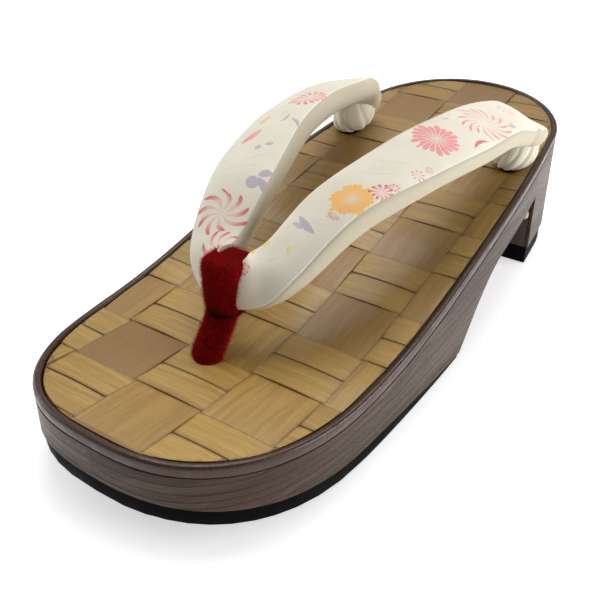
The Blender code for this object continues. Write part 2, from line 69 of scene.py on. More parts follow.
def make_camera():
    """Camera at the photograph's viewing angle."""
    data = bpy.data.cameras.new("camera")
    data.sensor_width = SENSOR_WIDTH_MM
    data.lens = FOCAL_PIXELS / FRAME_PIXELS * data.sensor_width
    data.clip_start = 0.01
    data.shift_x, data.shift_y = LENS_SHIFT
    camera = bpy.data.objects.new("camera", data)
    bpy.context.scene.collection.objects.link(camera)
    columns = (CAMERA_RIGHT, CAMERA_UP, CAMERA_BACK, CAMERA_PLACE)
    camera.matrix_world = Matrix([[column[i] for column in columns] for i in range(3)] + [[0, 0, 0, 1]])
    bpy.context.scene.camera = camera
    print("lens in mm", round(data.lens, 2))


make_camera()

# %% [markdown]
# ## Small helpers for node materials
#
# Each finish below is a network of nodes. Short helpers keep those networks readable: they add a node
# and feed its sockets, mix colours, do arithmetic, and read the place on a piece or on its flat map.

# %% Node helpers


def feed(tree, socket, value):
    """Give a socket a link or a plain value."""
    if isinstance(value, bpy.types.NodeSocket):
        tree.links.new(value, socket)
    elif value is not None:
        socket.default_value = value


def add_node(tree, kind, inputs=None, **settings):
    """Add a node, with its settings and its inputs by name or number."""
    made = tree.nodes.new(kind)
    for name, value in settings.items():
        setattr(made, name, value)
    for key, value in (inputs or {}).items():
        feed(tree, made.inputs[key], value)
    return made


def add(tree, kind, inputs=None, **settings):
    """Add a shader node."""
    return add_node(tree, "ShaderNode" + kind, inputs, **settings)


def mix(tree, share, first, second, mode="MIX"):
    """Mix two colours."""
    made = add(tree, "Mix", data_type="RGBA", blend_type=mode)
    feed(tree, made.inputs[0], share)
    feed(tree, made.inputs[6], first)
    feed(tree, made.inputs[7], second)
    return made.outputs[2]


def tinted(tree, amount, strength, base, colour):
    """Lay a colour over another where an amount says so, at a strength."""
    return mix(tree, times(tree, amount, strength), base, colour)


def sums(tree, operation, first, second=None, third=None, clamp=False):
    """Arithmetic on numbers."""
    made = add(tree, "Math", operation=operation, use_clamp=clamp)
    for socket, value in zip(made.inputs, (first, second, third)):
        feed(tree, socket, value)
    return made.outputs[0]


def plus(tree, first, second):
    return sums(tree, "ADD", first, second)


def less(tree, first, second, clamp=False):
    return sums(tree, "SUBTRACT", first, second, clamp=clamp)


def times(tree, first, second):
    return sums(tree, "MULTIPLY", first, second)


def stretch(tree, value, low, high, start=0.0, end=1.0):
    """Carry a range of values over to another, smoothly and clamped."""
    made = add(tree, "MapRange", interpolation_type="SMOOTHSTEP")
    for key, number in (("Value", value), ("From Min", low), ("From Max", high),
                        ("To Min", start), ("To Max", end)):
        feed(tree, made.inputs[key], number)
    return made.outputs["Result"]


def own_place(tree):
    """Place on the piece, in its own coordinates."""
    return add(tree, "TexCoord").outputs["Object"]


def own_map(tree):
    """Place on the piece's flat map, in metres."""
    return add(tree, "UVMap", uv_map="UVMap").outputs[0]


def attribute(tree, name):
    return add(tree, "Attribute", attribute_name=name).outputs["Fac"]


def clouds(tree, where, scale, detail=4.0, roughness=0.55, distortion=0.0):
    """Noise value at a place."""
    made = add(tree, "TexNoise", {"Vector": where, "Scale": scale, "Detail": detail,
                                  "Roughness": roughness, "Distortion": distortion})
    return made.outputs["Fac"]


def scaled(tree, where, sizes):
    """A place stretched by three factors."""
    return add(tree, "VectorMath", {0: where, 1: sizes}, operation="MULTIPLY").outputs[0]


def new_group(name, inputs, outputs):
    """Shader node group with named sockets. Inputs are (name, kind, default)."""
    group = bpy.data.node_groups.new(name, "ShaderNodeTree")
    for label, kind, default in inputs:
        socket = group.interface.new_socket(label, in_out="INPUT", socket_type="NodeSocket" + kind)
        if default is not None:
            socket.default_value = default
    for label, kind in outputs:
        group.interface.new_socket(label, in_out="OUTPUT", socket_type="NodeSocket" + kind)
    return group, group.nodes.new("NodeGroupInput").outputs, group.nodes.new("NodeGroupOutput").inputs


def use_group(tree, group, inputs):
    """Place a group in a material and feed it."""
    made = add(tree, "Group", node_tree=group)
    for key, value in inputs.items():
        feed(tree, made.inputs[key], value)
    return made.outputs


def new_material(name, roughness, **sockets):
    """Principled material, with the values that are the same all over it."""
    material = bpy.data.materials.new(name)
    material.use_nodes = True
    tree = material.node_tree
    shader = tree.nodes["Principled BSDF"]
    shader.inputs["Roughness"].default_value = roughness
    for key, value in sockets.items():
        shader.inputs[key.replace("_", " ")].default_value = value
    return material, tree, shader


def finish_surface(tree, shader, base, roughness, coat=None):
    """Feed the colour, the roughness and the coat that vary over a surface."""
    for label, value in (("Base Color", base), ("Roughness", roughness), ("Coat Weight", coat)):
        feed(tree, shader.inputs[label], value)


def add_bump(tree, shader, height, distance, strength=1.0, under=None):
    """Fine relief in the shading normal."""
    bump = add(tree, "Bump", {"Height": height, "Distance": distance, "Strength": strength})
    feed(tree, bump.inputs["Normal"], under)
    feed(tree, shader.inputs["Normal"], bump.outputs[0])
    return bump.outputs[0]


# %% Floor
FLOOR_SIZE = 6.0
FLOOR_GLOW = 0.55


def primitive(make, **settings):
    """Add one of Blender's primitives, with nothing else selected."""
    bpy.ops.object.select_all(action="DESELECT")
    make(**settings)
    return bpy.context.object


def make_floor():
    """Plain pale sheet under the sandal."""
    floor = primitive(bpy.ops.mesh.primitive_plane_add, size=FLOOR_SIZE)
    floor.name = "floor"
    material, tree, shader = new_material("pale floor", 0.9)
    where = own_place(tree)
    feed(tree, shader.inputs["Base Color"],
         mix(tree, clouds(tree, where, 60.0), (0.90, 0.90, 0.90, 1), (0.93, 0.93, 0.93, 1)))
    shader.inputs["Emission Color"].default_value = (1.0, 1.0, 1.0, 1)
    shader.inputs["Emission Strength"].default_value = FLOOR_GLOW
    floor.data.materials.append(material)


make_floor()

# %% Light panels
# columns: name, place, target, width, height, watts, colour
PANELS = (
    ("overhead panel", (-0.20, 0.30, 0.95), (0.0, 0.0, 0.03), 0.7, 0.7, 6.6, (1.0, 0.985, 0.95)),
    ("right panel", (0.95, 0.45, 0.22), (0.0, 0.0, 0.03), 0.9, 0.6, 10.5, (0.99, 0.98, 1.0)),
    ("left panel", (-0.85, -0.15, 0.35), (0.0, 0.0, 0.03), 0.6, 0.6, 2.4, (1.0, 0.99, 0.98)),
)


SURROUND_TURN = (0.35, 0.95)
SURROUND_LIGHT = (0.40, 0.10)


def make_panels():
    """Soft panels that face the sandal, and a pale surround."""
    for name, place, target, width, height, watts, colour in PANELS:
        data = bpy.data.lights.new(name, "AREA")
        data.shape = "RECTANGLE"
        data.size, data.size_y, data.energy, data.color = width, height, watts, colour
        panel = bpy.data.objects.new(name, data)
        bpy.context.scene.collection.objects.link(panel)
        aim = Vector(target) - Vector(place)
        panel.matrix_world = Matrix.Translation(place) @ aim.to_track_quat("-Z", "Y").to_matrix().to_4x4()
    world = bpy.data.worlds.new("surround")
    world.use_nodes = True
    tree = world.node_tree
    way = add(tree, "TexCoord").outputs["Generated"]
    toward = add(tree, "VectorMath", {0: way, 1: CAMERA_BACK}, operation="DOT_PRODUCT").outputs["Value"]
    shade = stretch(tree, toward, *SURROUND_TURN, *SURROUND_LIGHT)
    light = sums(tree, "MAXIMUM", shade, add(tree, "LightPath").outputs["Is Camera Ray"])
    background = tree.nodes["Background"]
    background.inputs["Color"].default_value = (1.0, 1.0, 1.0, 1)
    feed(tree, background.inputs["Strength"], light)
    bpy.context.scene.world = world
    bpy.context.scene.view_settings.view_transform = "Standard"


make_panels()

# %% [markdown]
# ## The platform's lines
#
# Every covering follows the same two lines: the outline seen from above and the footbed's curve seen
# from the side. They are written here as the part's own source writes them, from named sizes, so
# that any piece can ask where the platform's edge or surface is.

# %% Platform lines
LENGTH = 0.240
HEEL_HEIGHT = 0.0517
SIDE_FLARE = 0.0013
TOE_ROUND_LENGTH = 0.0556
TOE_POWER = 2.75
HEEL_ROUND_LENGTH = 0.0336
HEEL_POWER = 2.06
WIDTH_PLACES = (0.30, 0.55, 0.80)
WIDTHS = (0.0936, 0.0941, 0.0861)
FRONT_FOOT_REAR = -0.0075
HEEL_BLOCK_FRONT = 0.065
WAIST_THICKNESS = 0.0137
FOOT_REAR_SLOPE = 42.0
FOOT_REAR_BLEND = 0.0080
TOE_SPRING = 0.0082
TOE_SPRING_RUN = 0.060
FRONT_RUBBER_TOE = 0.0048
FRONT_RUBBER_REAR = 0.0018
HEEL_RUBBER = 0.0070
RIM_WIDTH = 0.0022
RIM_HEIGHT = 0.0030
RIM_PROUD = 0.0004
GAP = 0.0003
POST_HOLE = (0.0, -0.0755, 0.0045)
STRAP_HOLE_Y = 0.0585
TOP_SHARES = (0.502, 0.446, 0.419, 0.449, 0.531, 0.628, 0.710, 0.779, 0.849, 0.924, 1.000)
TOE_END = -LENGTH / 2
HEEL_END = LENGTH / 2


def smooth_row(table, place):
    """Row of a table at a place counted in rows, on a smooth curve through the rows."""
    last = len(table) - 1
    first = int(min(max(math.floor(place), 0), last - 1))
    start, end = table[first], table[first + 1]
    before = table[first - 1] if first > 0 else [2 * a - b for a, b in zip(start, end)]
    after = table[first + 2] if first + 2 <= last else [2 * b - a for a, b in zip(start, end)]
    t = place - first
    square, cube = t * t, t * t * t
    weights = (2 * cube - 3 * square + 1, 3 * square - 2 * cube, cube - 2 * square + t, cube - square)
    return [weights[0] * s + weights[1] * e + weights[2] * (e - b) / 2 + weights[3] * (a - s) / 2
            for b, s, e, a in zip(before, start, end, after)]


def top_height(y):
    """Height of the footbed above the floor."""
    place = min(max((y - TOE_END) / LENGTH, 0), 1) * (len(TOP_SHARES) - 1)
    return smooth_row([(share,) for share in TOP_SHARES], place)[0] * HEEL_HEIGHT


def half_width(y):
    """Half width of the footbed, a parabola through its three widths."""
    share = (y - TOE_END) / LENGTH
    total = 0.0
    for place, width in zip(WIDTH_PLACES, WIDTHS):
        others = [other for other in WIDTH_PLACES if other != place]
        total += width * math.prod((share - other) / (place - other) for other in others)
    return total / 2


def flare(z):
    """How far the side stands outside the named widths at a height."""
    return SIDE_FLARE * (1 - z / HEEL_HEIGHT)


def rough_outline(end_points, side_points):
    """Closed loop of (x, y) round the footbed, counter-clockwise from the toe."""
    toe_centre, heel_centre = TOE_END + TOE_ROUND_LENGTH, HEEL_END - HEEL_ROUND_LENGTH
    side = []
    for i in range(end_points + 1):
        angle = math.pi / 2 * i / end_points
        y = toe_centre - TOE_ROUND_LENGTH * math.cos(angle) ** (2 / TOE_POWER)
        side.append((math.sin(angle) ** (2 / TOE_POWER) * half_width(y), y))
    for i in range(1, side_points):
        y = toe_centre + (heel_centre - toe_centre) * i / side_points
        side.append((half_width(y), y))
    for i in range(end_points + 1):
        angle = math.pi / 2 * i / end_points
        y = heel_centre + HEEL_ROUND_LENGTH * math.sin(angle) ** (2 / HEEL_POWER)
        side.append((max(math.cos(angle), 0) ** (2 / HEEL_POWER) * half_width(y), y))
    side[-1] = (0.0, HEEL_END)
    return side + [(-x, y) for x, y in reversed(side[1:-1])]


def even_outline(count):
    """The same loop with evenly spaced points, and the way round to each."""
    loop = rough_outline(60, 80)
    loop.append(loop[0])
    ways = [0.0]
    for a, b in zip(loop, loop[1:]):
        ways.append(ways[-1] + math.dist(a, b))
    points, k = [], 0
    for i in range(count):
        way = ways[-1] * i / count
        while ways[k + 1] < way:
            k += 1
        share = (way - ways[k]) / (ways[k + 1] - ways[k])
        points.append(tuple(a + (b - a) * share for a, b in zip(loop[k], loop[k + 1])))
    return points, ways[-1]


def moved_outline(points, inset):
    """The loop moved inwards; inset is a function of the point's number."""
    moved = []
    for i, (x, y) in enumerate(points):
        before, after = Vector(points[i - 1]), Vector(points[(i + 1) % len(points)])
        along = (after - before).normalized()
        moved.append((x - along.y * inset(i), y + along.x * inset(i)))
    return moved


def ground_height(y):
    """Height of the tread above the floor."""
    return TOE_SPRING * min(max((TOE_END + TOE_SPRING_RUN - y) / TOE_SPRING_RUN, 0), 1) ** 2


def underside(y):
    """Height of the platform's lower surface."""
    bend = TOE_END + TOE_SPRING_RUN
    share = min(max((y - bend) / (FRONT_FOOT_REAR - bend), 0), 1)
    foot = ground_height(y) + FRONT_RUBBER_TOE + (FRONT_RUBBER_REAR - FRONT_RUBBER_TOE) * share + GAP
    if y <= FRONT_FOOT_REAR:
        return foot
    if y >= HEEL_BLOCK_FRONT:
        return HEEL_RUBBER + GAP
    ramp = foot + (y - FRONT_FOOT_REAR) * math.tan(math.radians(FOOT_REAR_SLOPE))
    waist = top_height(y) - WAIST_THICKNESS
    blend = max(FOOT_REAR_BLEND - abs(ramp - waist), 0) / FOOT_REAR_BLEND
    return min(ramp, waist) - blend ** 2 * FOOT_REAR_BLEND / 4


print("footbed from toe to heel in mm",
      [round(top_height(TOE_END + LENGTH * i / 10) * 1000, 1) for i in range(11)])

# %% [markdown]
# ## Helpers for the pieces
#
# A new piece starts as one of Blender's primitives. A grid is the most useful one here: it already
# has a flat map of itself, and each of its points can be moved to its place on the form, as a sheet
# of veneer or cloth is laid over a block. The map is then written in real metres, so a grain or a
# print keeps its true size on the bent sheet.

# %% Piece helpers


def only(piece):
    """Select one piece and make it active."""
    bpy.ops.object.select_all(action="DESELECT")
    piece.select_set(True)
    bpy.context.view_layer.objects.active = piece


def apply_modifier(piece, kind, **settings):
    """Add a modifier and apply it."""
    only(piece)
    modifier = piece.modifiers.new(kind.title(), kind)
    for name, value in settings.items():
        setattr(modifier, name, value)
    bpy.ops.object.modifier_apply(modifier=modifier.name)
    return piece


def round_edges(piece, width, segments=2, degrees=40):
    """Small bevel on the sharp edges."""
    return apply_modifier(piece, "BEVEL", width=width, segments=segments, limit_method="ANGLE",
                          angle_limit=math.radians(degrees))


def edit(piece, *steps):
    """Run edit-mode steps on everything in a piece."""
    only(piece)
    bpy.ops.object.mode_set(mode="EDIT")
    bpy.ops.mesh.select_mode(type="VERT")
    bpy.ops.mesh.select_all(action="SELECT")
    for step in steps:
        step()
    bpy.ops.object.mode_set(mode="OBJECT")
    return piece


def weld_and_face_out():
    """Edit-mode step: merge doubles and turn all faces outwards."""
    bpy.ops.mesh.remove_doubles(threshold=1e-6)
    bpy.ops.mesh.normals_make_consistent(inside=False)


def close_ends():
    """Edit-mode step: fill open borders and turn all faces outwards."""
    bpy.ops.mesh.remove_doubles(threshold=1e-6)
    bpy.ops.mesh.select_all(action="DESELECT")
    bpy.ops.mesh.select_non_manifold()
    bpy.ops.mesh.fill_holes(sides=0)
    bpy.ops.mesh.select_all(action="SELECT")
    bpy.ops.mesh.normals_make_consistent(inside=False)


def solid_from_outline(points, way):
    """Closed solid: a flat face through the points, drawn out along a way."""
    solid = primitive(bpy.ops.mesh.primitive_circle_add, vertices=len(points), fill_type="NGON")
    for vert, point in zip(solid.data.vertices, points):
        vert.co = point
    return edit(solid, lambda: bpy.ops.mesh.remove_doubles(threshold=1e-7),
                lambda: bpy.ops.mesh.extrude_region_move(TRANSFORM_OT_translate={"value": way}),
                lambda: bpy.ops.mesh.select_all(action="SELECT"),
                lambda: bpy.ops.mesh.normals_make_consistent(inside=False))


def soft_shade(piece, degrees=40.0):
    """Smooth shading between sharp edges."""
    only(piece)
    bpy.ops.object.shade_smooth_by_angle(angle=math.radians(degrees))
    return piece


def shaped_grid(name, columns, rows, place, map_of=None):
    """A grid whose points are moved to place(u, v), with its map in metres from map_of(u, v)."""
    piece = primitive(bpy.ops.mesh.primitive_grid_add, x_subdivisions=columns, y_subdivisions=rows,
                      size=2.0, calc_uvs=True)
    piece.name = piece.data.name = name
    mesh = piece.data
    shares = [((v.co.x + 1) / 2, (v.co.y + 1) / 2) for v in mesh.vertices]
    for vert, (u, v) in zip(mesh.vertices, shares):
        vert.co = place(u, v)
    if map_of:
        flat = [map_of(u, v) for u, v in shares]
        layer = mesh.uv_layers.active.data
        for loop in mesh.loops:
            layer[loop.index].uv = flat[loop.vertex_index]
    return piece


def copy_piece(source, name):
    """Copy of a piece with its own mesh and no custom values."""
    piece = source.copy()
    piece.data = source.data.copy()
    for key in list(piece.keys()):
        del piece[key]
    piece.name = piece.data.name = name
    bpy.context.scene.collection.objects.link(piece)
    return piece


def copy_of_node(node, name):
    """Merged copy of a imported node, which the copy will stand for."""
    piece = copy_piece(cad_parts[node], name)
    piece.hide_render = piece.hide_viewport = False
    piece.data.materials.clear()
    return edit(piece, weld_and_face_out)


def finish_piece(piece, material, slot, *nodes):
    """Give a piece its material, let it ride on the body and hide the nodes it stands for."""
    piece.data.materials.clear()
    piece.data.materials.append(material)
    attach(piece, "root")
    if nodes:
        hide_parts(*nodes)
    print(piece.name, sum(len(face.vertices) - 2 for face in piece.data.polygons), "triangles")
    return piece


# %% [markdown]
# ## Wood grain
#
# Wood shows long thin streaks, short dark pores and slow changes of tone, all stretched along the
# fibre. One noise texture, squeezed across the grain, gives each of them at its own size. The group
# is used for the veneer, the side and the stained body, each with its own map and fineness.

# %% Grain group


def make_grain_group():
    """Streaks, pores and bands along the first axis of the map that it is given."""
    group, into, out = new_group(
        "wood grain",
        (("Place", "Vector", None), ("Fineness", "Float", 1.0), ("Wander", "Float", 0.4)),
        (("Streaks", "Float"), ("Pores", "Float"), ("Bands", "Float")))
    place = add(group, "VectorMath", {0: into["Place"]}, operation="SCALE")
    feed(group, place.inputs["Scale"], into["Fineness"])
    sway = clouds(group, scaled(group, place.outputs[0], (45.0, 130.0, 45.0)), 1.0, 2.0)
    sway = times(group, less(group, sway, 0.5), into["Wander"])
    shift = add(group, "CombineXYZ", {"Y": times(group, sway, 0.0050)}).outputs[0]
    where = add(group, "VectorMath", {0: place.outputs[0], 1: shift}, operation="ADD").outputs[0]
    streaks = clouds(group, scaled(group, where, (70.0, 2600.0, 600.0)), 1.0, 4.0, 0.62)
    pores = clouds(group, scaled(group, where, (420.0, 5200.0, 1200.0)), 1.0, 2.0, 0.5)
    bands = clouds(group, scaled(group, where, (18.0, 420.0, 90.0)), 1.0, 3.0, 0.5, 0.3)
    feed(group, out["Streaks"], stretch(group, streaks, 0.28, 0.72))
    feed(group, out["Pores"], stretch(group, pores, 0.62, 0.74))
    feed(group, out["Bands"], stretch(group, bands, 0.3, 0.7))
    return group


GRAIN = make_grain_group()

# %% [markdown]
# ## Stained wooden body
#
# The platform is one block of light wood. Only its arch, the back of the front foot and the front of
# the heel show, stained a dark reddish brown. Its solid already has the true form, so a merged copy
# only gets a small rounded edge and the grain.

# %% Stained body


def stain_material():
    """Dark reddish-brown stain with the grain showing through."""
    material, tree, shader = new_material("reddish brown stain", 0.45, Coat_Roughness=0.30,
                                          Specular_IOR_Level=0.25)
    where = own_place(tree)
    turned = add(tree, "Mapping", {"Vector": where, "Rotation": (0, 0, math.pi / 2)}).outputs[0]
    grain = use_group(tree, GRAIN, {"Place": turned, "Fineness": 0.7, "Wander": 0.8})
    base = mix(tree, grain["Bands"], (0.030, 0.0105, 0.0042, 1), (0.050, 0.0185, 0.0082, 1))
    base = tinted(tree, grain["Streaks"], 0.55, base, (0.022, 0.0075, 0.0030, 1))
    finish_surface(tree, shader, base, stretch(tree, grain["Streaks"], 0, 1, 0.36, 0.52),
                   stretch(tree, grain["Bands"], 0, 1, 0.02, 0.08))
    add_bump(tree, shader, grain["Streaks"], 0.00006, 0.6)
    return material


def make_body():
    body = copy_of_node("wood_body", "stained_body")
    round_edges(body, 0.00025)
    soft_shade(body)
    finish_piece(body, stain_material(), "painted_wood", "wood_body")


make_body()

# %% [markdown]
# ## Rubber soles
#
# Black rubber sheets are glued under the front foot and the heel. The tread side carries a fine
# cross-cut, far too small to model, so it is relief in the material. The cut edges stay smooth.

# %% Rubber soles


def rubber_material():
    """Matt black rubber with a fine cross-cut tread and a little dust."""
    material, tree, shader = new_material("black rubber", 0.62, Specular_IOR_Level=0.04)
    where = own_place(tree)
    dust = clouds(tree, where, 90.0, 5.0, 0.6)
    feed(tree, shader.inputs["Base Color"],
         mix(tree, stretch(tree, dust, 0.45, 0.75), (0.0014, 0.0012, 0.0011, 1), (0.0070, 0.0064, 0.0062, 1)))
    feed(tree, shader.inputs["Roughness"], stretch(tree, dust, 0.3, 0.7, 0.52, 0.72))
    cuts = []
    for turn in (45.0, -45.0):
        turned = add(tree, "Mapping", {"Vector": where, "Rotation": (0, 0, math.radians(turn))}).outputs[0]
        wave = add(tree, "TexWave", {"Vector": turned, "Scale": 130.0, "Distortion": 0.0}, wave_profile="TRI")
        cuts.append(stretch(tree, wave.outputs["Fac"], 0.10, 0.35))
    facing = add(tree, "SeparateXYZ", {0: add(tree, "NewGeometry").outputs["True Normal"]}).outputs["Z"]
    tread = times(tree, sums(tree, "MINIMUM", *cuts), stretch(tree, facing, -0.5, -0.9))
    grit = clouds(tree, where, 1800.0, 2.0)
    height = plus(tree, times(tree, tread, 0.00035), times(tree, grit, 0.00004))
    add_bump(tree, shader, height, 1.0, 0.8)
    return material


def make_soles():
    material = rubber_material()
    for node in ("front_sole_rubber", "heel_sole_rubber"):
        sole = copy_of_node(node, node.replace("_sole_rubber", "_rubber_sheet"))
        round_edges(sole, 0.00035)
        soft_shade(sole)
        finish_piece(sole, material, "sole_rubber", node)


make_soles()

# %% [markdown]
# ## Grained side covering
#
# A thin brown covering with a pressed wood grain runs all round the side. It starts as a flat grid
# as long as the way round. Each column is stood on the outline, so the grid's map follows the
# bend and the grain stays level at the toe. Solidify gives it its wall, and a cutter in the shape of
# the side view trims the toe spring, the arch and the heel in one Boolean.

# %% Side covering
SIDE_COLUMNS = 360
SIDE_ROWS = 12
WRAP_THICKNESS = 0.0010
FAR = 0.2
CUTTER_MARGIN = 0.02
CUTTER_STEPS = 60
WRAP_FOOT = -0.001


def side_material():
    """Brown covering pressed with a lengthwise grain."""
    material, tree, shader = new_material("pressed brown side", 0.40, Coat_Roughness=0.25,
                                          Specular_IOR_Level=0.20)
    flat = own_map(tree)
    grain = use_group(tree, GRAIN, {"Place": flat, "Fineness": 0.55, "Wander": 1.6})
    slow = add(tree, "TexWave", {"Vector": scaled(tree, flat, (5.0, 120.0, 1.0)), "Scale": 0.9,
                                 "Distortion": 7.0, "Detail": 2.0, "Detail Scale": 0.7},
               wave_type="BANDS", bands_direction="Y").outputs["Fac"]
    rings = stretch(tree, slow, 0.04, 0.30, 1.0, 0.0)
    base = mix(tree, grain["Bands"], (0.040, 0.0190, 0.0100, 1), (0.092, 0.0510, 0.0310, 1))
    base = tinted(tree, rings, 0.50, base, (0.012, 0.0060, 0.0038, 1))
    base = tinted(tree, grain["Pores"], 0.55, base, (0.009, 0.0050, 0.0035, 1))
    pebble = clouds(tree, scaled(tree, flat, (900.0, 2300.0, 1.0)), 1.0, 3.0, 0.6)
    finish_surface(tree, shader, base, stretch(tree, pebble, 0.3, 0.7, 0.34, 0.50),
                   stretch(tree, grain["Bands"], 0, 1, 0.02, 0.12))
    height = plus(tree, times(tree, pebble, 1.0), times(tree, grain["Streaks"], 0.6))
    height = less(tree, height, times(tree, rings, 0.6))
    add_bump(tree, shader, height, 0.00016, 0.9)
    return material


def side_view_cutter():
    """Everything below the platform's lower surface, as one solid to cut away."""
    front, rear = TOE_END - CUTTER_MARGIN, HEEL_END + CUTTER_MARGIN
    line = [(front, underside(TOE_END))]
    for start, end in ((TOE_END, FRONT_FOOT_REAR), (FRONT_FOOT_REAR, HEEL_BLOCK_FRONT - 1e-5)):
        places = [start + (end - start) * i / CUTTER_STEPS for i in range(CUTTER_STEPS + 1)]
        line += [(y, underside(y)) for y in places]
    line += [(HEEL_BLOCK_FRONT, HEEL_RUBBER + GAP), (rear, HEEL_RUBBER + GAP)]
    line += [(rear, -CUTTER_MARGIN), (front, -CUTTER_MARGIN)]
    return solid_from_outline([(-FAR, y, z) for y, z in line], (2 * FAR, 0, 0))


def cut_away(piece, cutter, operation="DIFFERENCE"):
    """Boolean with a cutter."""
    return apply_modifier(piece, "BOOLEAN", operation=operation, solver="EXACT", object=cutter)


def make_side():
    points, way = even_outline(SIDE_COLUMNS)

    def place(u, v):
        i = round(u * SIDE_COLUMNS) % SIDE_COLUMNS
        x, y = points[i]
        top = top_height(y) - RIM_HEIGHT - GAP / 3
        z = WRAP_FOOT + (top - WRAP_FOOT) * v
        before, after = Vector(points[i - 1]), Vector(points[(i + 1) % SIDE_COLUMNS])
        along = (after - before).normalized()
        return Vector((x + along.y * flare(z), y - along.x * flare(z), z))

    def flat(u, v):
        y = points[round(u * SIDE_COLUMNS) % SIDE_COLUMNS][1]
        return u * way, top_height(y) * v

    side = shaped_grid("side_covering", SIDE_COLUMNS, SIDE_ROWS, place, flat)
    edit(side, weld_and_face_out)
    apply_modifier(side, "SOLIDIFY", thickness=WRAP_THICKNESS, offset=-1.0)
    cutter = side_view_cutter()
    cut_away(side, cutter)
    bpy.data.objects.remove(cutter)
    soft_shade(side)
    finish_piece(side, side_material(), "side_wrap", "side_wrap")


make_side()

# %% [markdown]
# ## Edging
#
# A dark glossy strip hides the joint between the footbed and the side. It is a closed ring with one
# section all the way, which is what a torus is, so the torus is only moved onto the outline. Its
# surface is lightly pebbled and catches the light at the toe.

# %% Edging
# columns: share of RIM_WIDTH inwards, share of the rim's full height
EDGING_SECTION = (
    (0.04, 0.00), (-0.03, 0.22), (-0.05, 0.45), (-0.04, 0.68), (0.01, 0.84), (0.12, 0.94), (0.30, 0.99),
    (0.52, 1.00), (0.72, 0.98), (0.88, 0.92), (0.97, 0.80), (1.00, 0.60), (1.00, 0.30), (1.00, 0.00),
    (0.70, -0.01), (0.35, -0.01),
)
EDGING_COLUMNS = 256


def edging_material():
    """Dark brown edging, pebbled and glossy."""
    material, tree, shader = new_material("dark pebbled edging", 0.36, Coat_Roughness=0.16,
                                          Specular_IOR_Level=0.25)
    where = own_place(tree)
    pebble = add(tree, "TexVoronoi", {"Vector": where, "Scale": 1500.0}).outputs["Distance"]
    tone = clouds(tree, where, 160.0, 4.0)
    worn = stretch(tree, clouds(tree, where, 420.0, 5.0, 0.7), 0.60, 0.78)
    base = mix(tree, tone, (0.0260, 0.0100, 0.0050, 1), (0.0700, 0.0320, 0.0180, 1))
    base = tinted(tree, worn, 0.30, base, (0.075, 0.045, 0.032, 1))
    finish_surface(tree, shader, base, stretch(tree, tone, 0.3, 0.7, 0.30, 0.46),
                   stretch(tree, tone, 0.3, 0.7, 0.34, 0.14))
    add_bump(tree, shader, stretch(tree, pebble, 0.0, 0.6, 1.0, 0.0), 0.00010, 0.7)
    return material


def make_edging():
    points, _ = even_outline(EDGING_COLUMNS)
    parts = len(EDGING_SECTION)
    edging = primitive(bpy.ops.mesh.primitive_torus_add, major_segments=EDGING_COLUMNS,
                       minor_segments=parts, major_radius=1.0, minor_radius=0.2)
    edging.name = edging.data.name = "edging_strip"
    rings = [moved_outline(points, lambda i, share=share: share * RIM_WIDTH - flare(top_height(points[i][1])))
             for share, _ in EDGING_SECTION]
    for number, vert in enumerate(edging.data.vertices):
        column, part = divmod(number, parts)
        x, y = rings[part][column]
        foot = top_height(points[column][1]) - RIM_HEIGHT
        sway = noise.noise(Vector((x, y, 0.0)) * 90.0) * 0.00008
        vert.co = (x, y, foot + EDGING_SECTION[part][1] * (RIM_HEIGHT + RIM_PROUD + sway))
    edit(edging, weld_and_face_out)
    soft_shade(edging, 60.0)
    finish_piece(edging, edging_material(), "edging", "edge_rim")


make_edging()

# %% [markdown]
# ## Woven footbed
#
# The footbed is a checker weave of thin wood strips: one wide strip along the sandal, then a pair of
# half-width strips across it, each diving under its neighbours at its ends. Painting this on a plain
# surface would lose the little steps and gaps, so real strips are laid. One wide and one narrow
# strip are modelled and copied; each copy is bowed, turned a hair off true, set on the footbed's curve
# and trimmed to the outline where it reaches the edging.

# %% Strip sizes
CHECK_ACROSS = 0.0230
CHECK_ALONG = 0.0213
CHECK_SHIFT_X = -0.0089
CHECK_SHIFT_Y = -0.0952
STRIP_THICKNESS = 0.00030
STRIP_RISE = 0.00042
STRIP_SPACE = 0.00022
STRIP_UNDERLAP = 0.0015
STRIP_FACES_LONG = 18
STRIP_FACES_WIDE = 8
STRIP_WANDER = 0.00012
BACKING_DEPTH = 0.0010
BACKING_SINK = 0.00062
STRAP_HOLE_INSET = 0.0098
STRAP_HOLE_RADIUS = 0.005
HOLE_LAP = 0.0004
# Cells with a dark strip, as (column, row): share of darkness, partly the strip's own darker wood and partly
# painted shade
DARK_AND_SHADED_STRIPS = {(-1, 0): 0.95, (0, 9): 0.75, (1, 8): 0.35, (1, 2): 0.40, (0, -1): 0.22, (-2, 1): 0.25,
               (0, 3): 0.45, (-1, 6): 0.40, (1, 0): 0.12, (-2, 3): 0.35, (-1, 8): 0.45, (1, 4): 0.35}


def model_strip(name, length, width, faces_wide):
    """One thin strip along X, with slightly rounded upper edges and its map in metres."""
    strip = shaped_grid(name, STRIP_FACES_LONG, faces_wide,
                        lambda u, v: Vector(((u - 0.5) * length, (v - 0.5) * width, 0.0)),
                        lambda u, v: (u * length, v * width))
    edge = strip.data.attributes.new("edge", "FLOAT", "POINT")
    strip.data.attributes.new("tone", "FLOAT", "POINT")
    for vert in strip.data.vertices:
        edge.data[vert.index].value = min(length / 2 - abs(vert.co.x), width / 2 - abs(vert.co.y)) * 1000
    apply_modifier(strip, "SOLIDIFY", thickness=STRIP_THICKNESS, offset=-1.0)
    return round_edges(strip, 0.00009, segments=1, degrees=50)


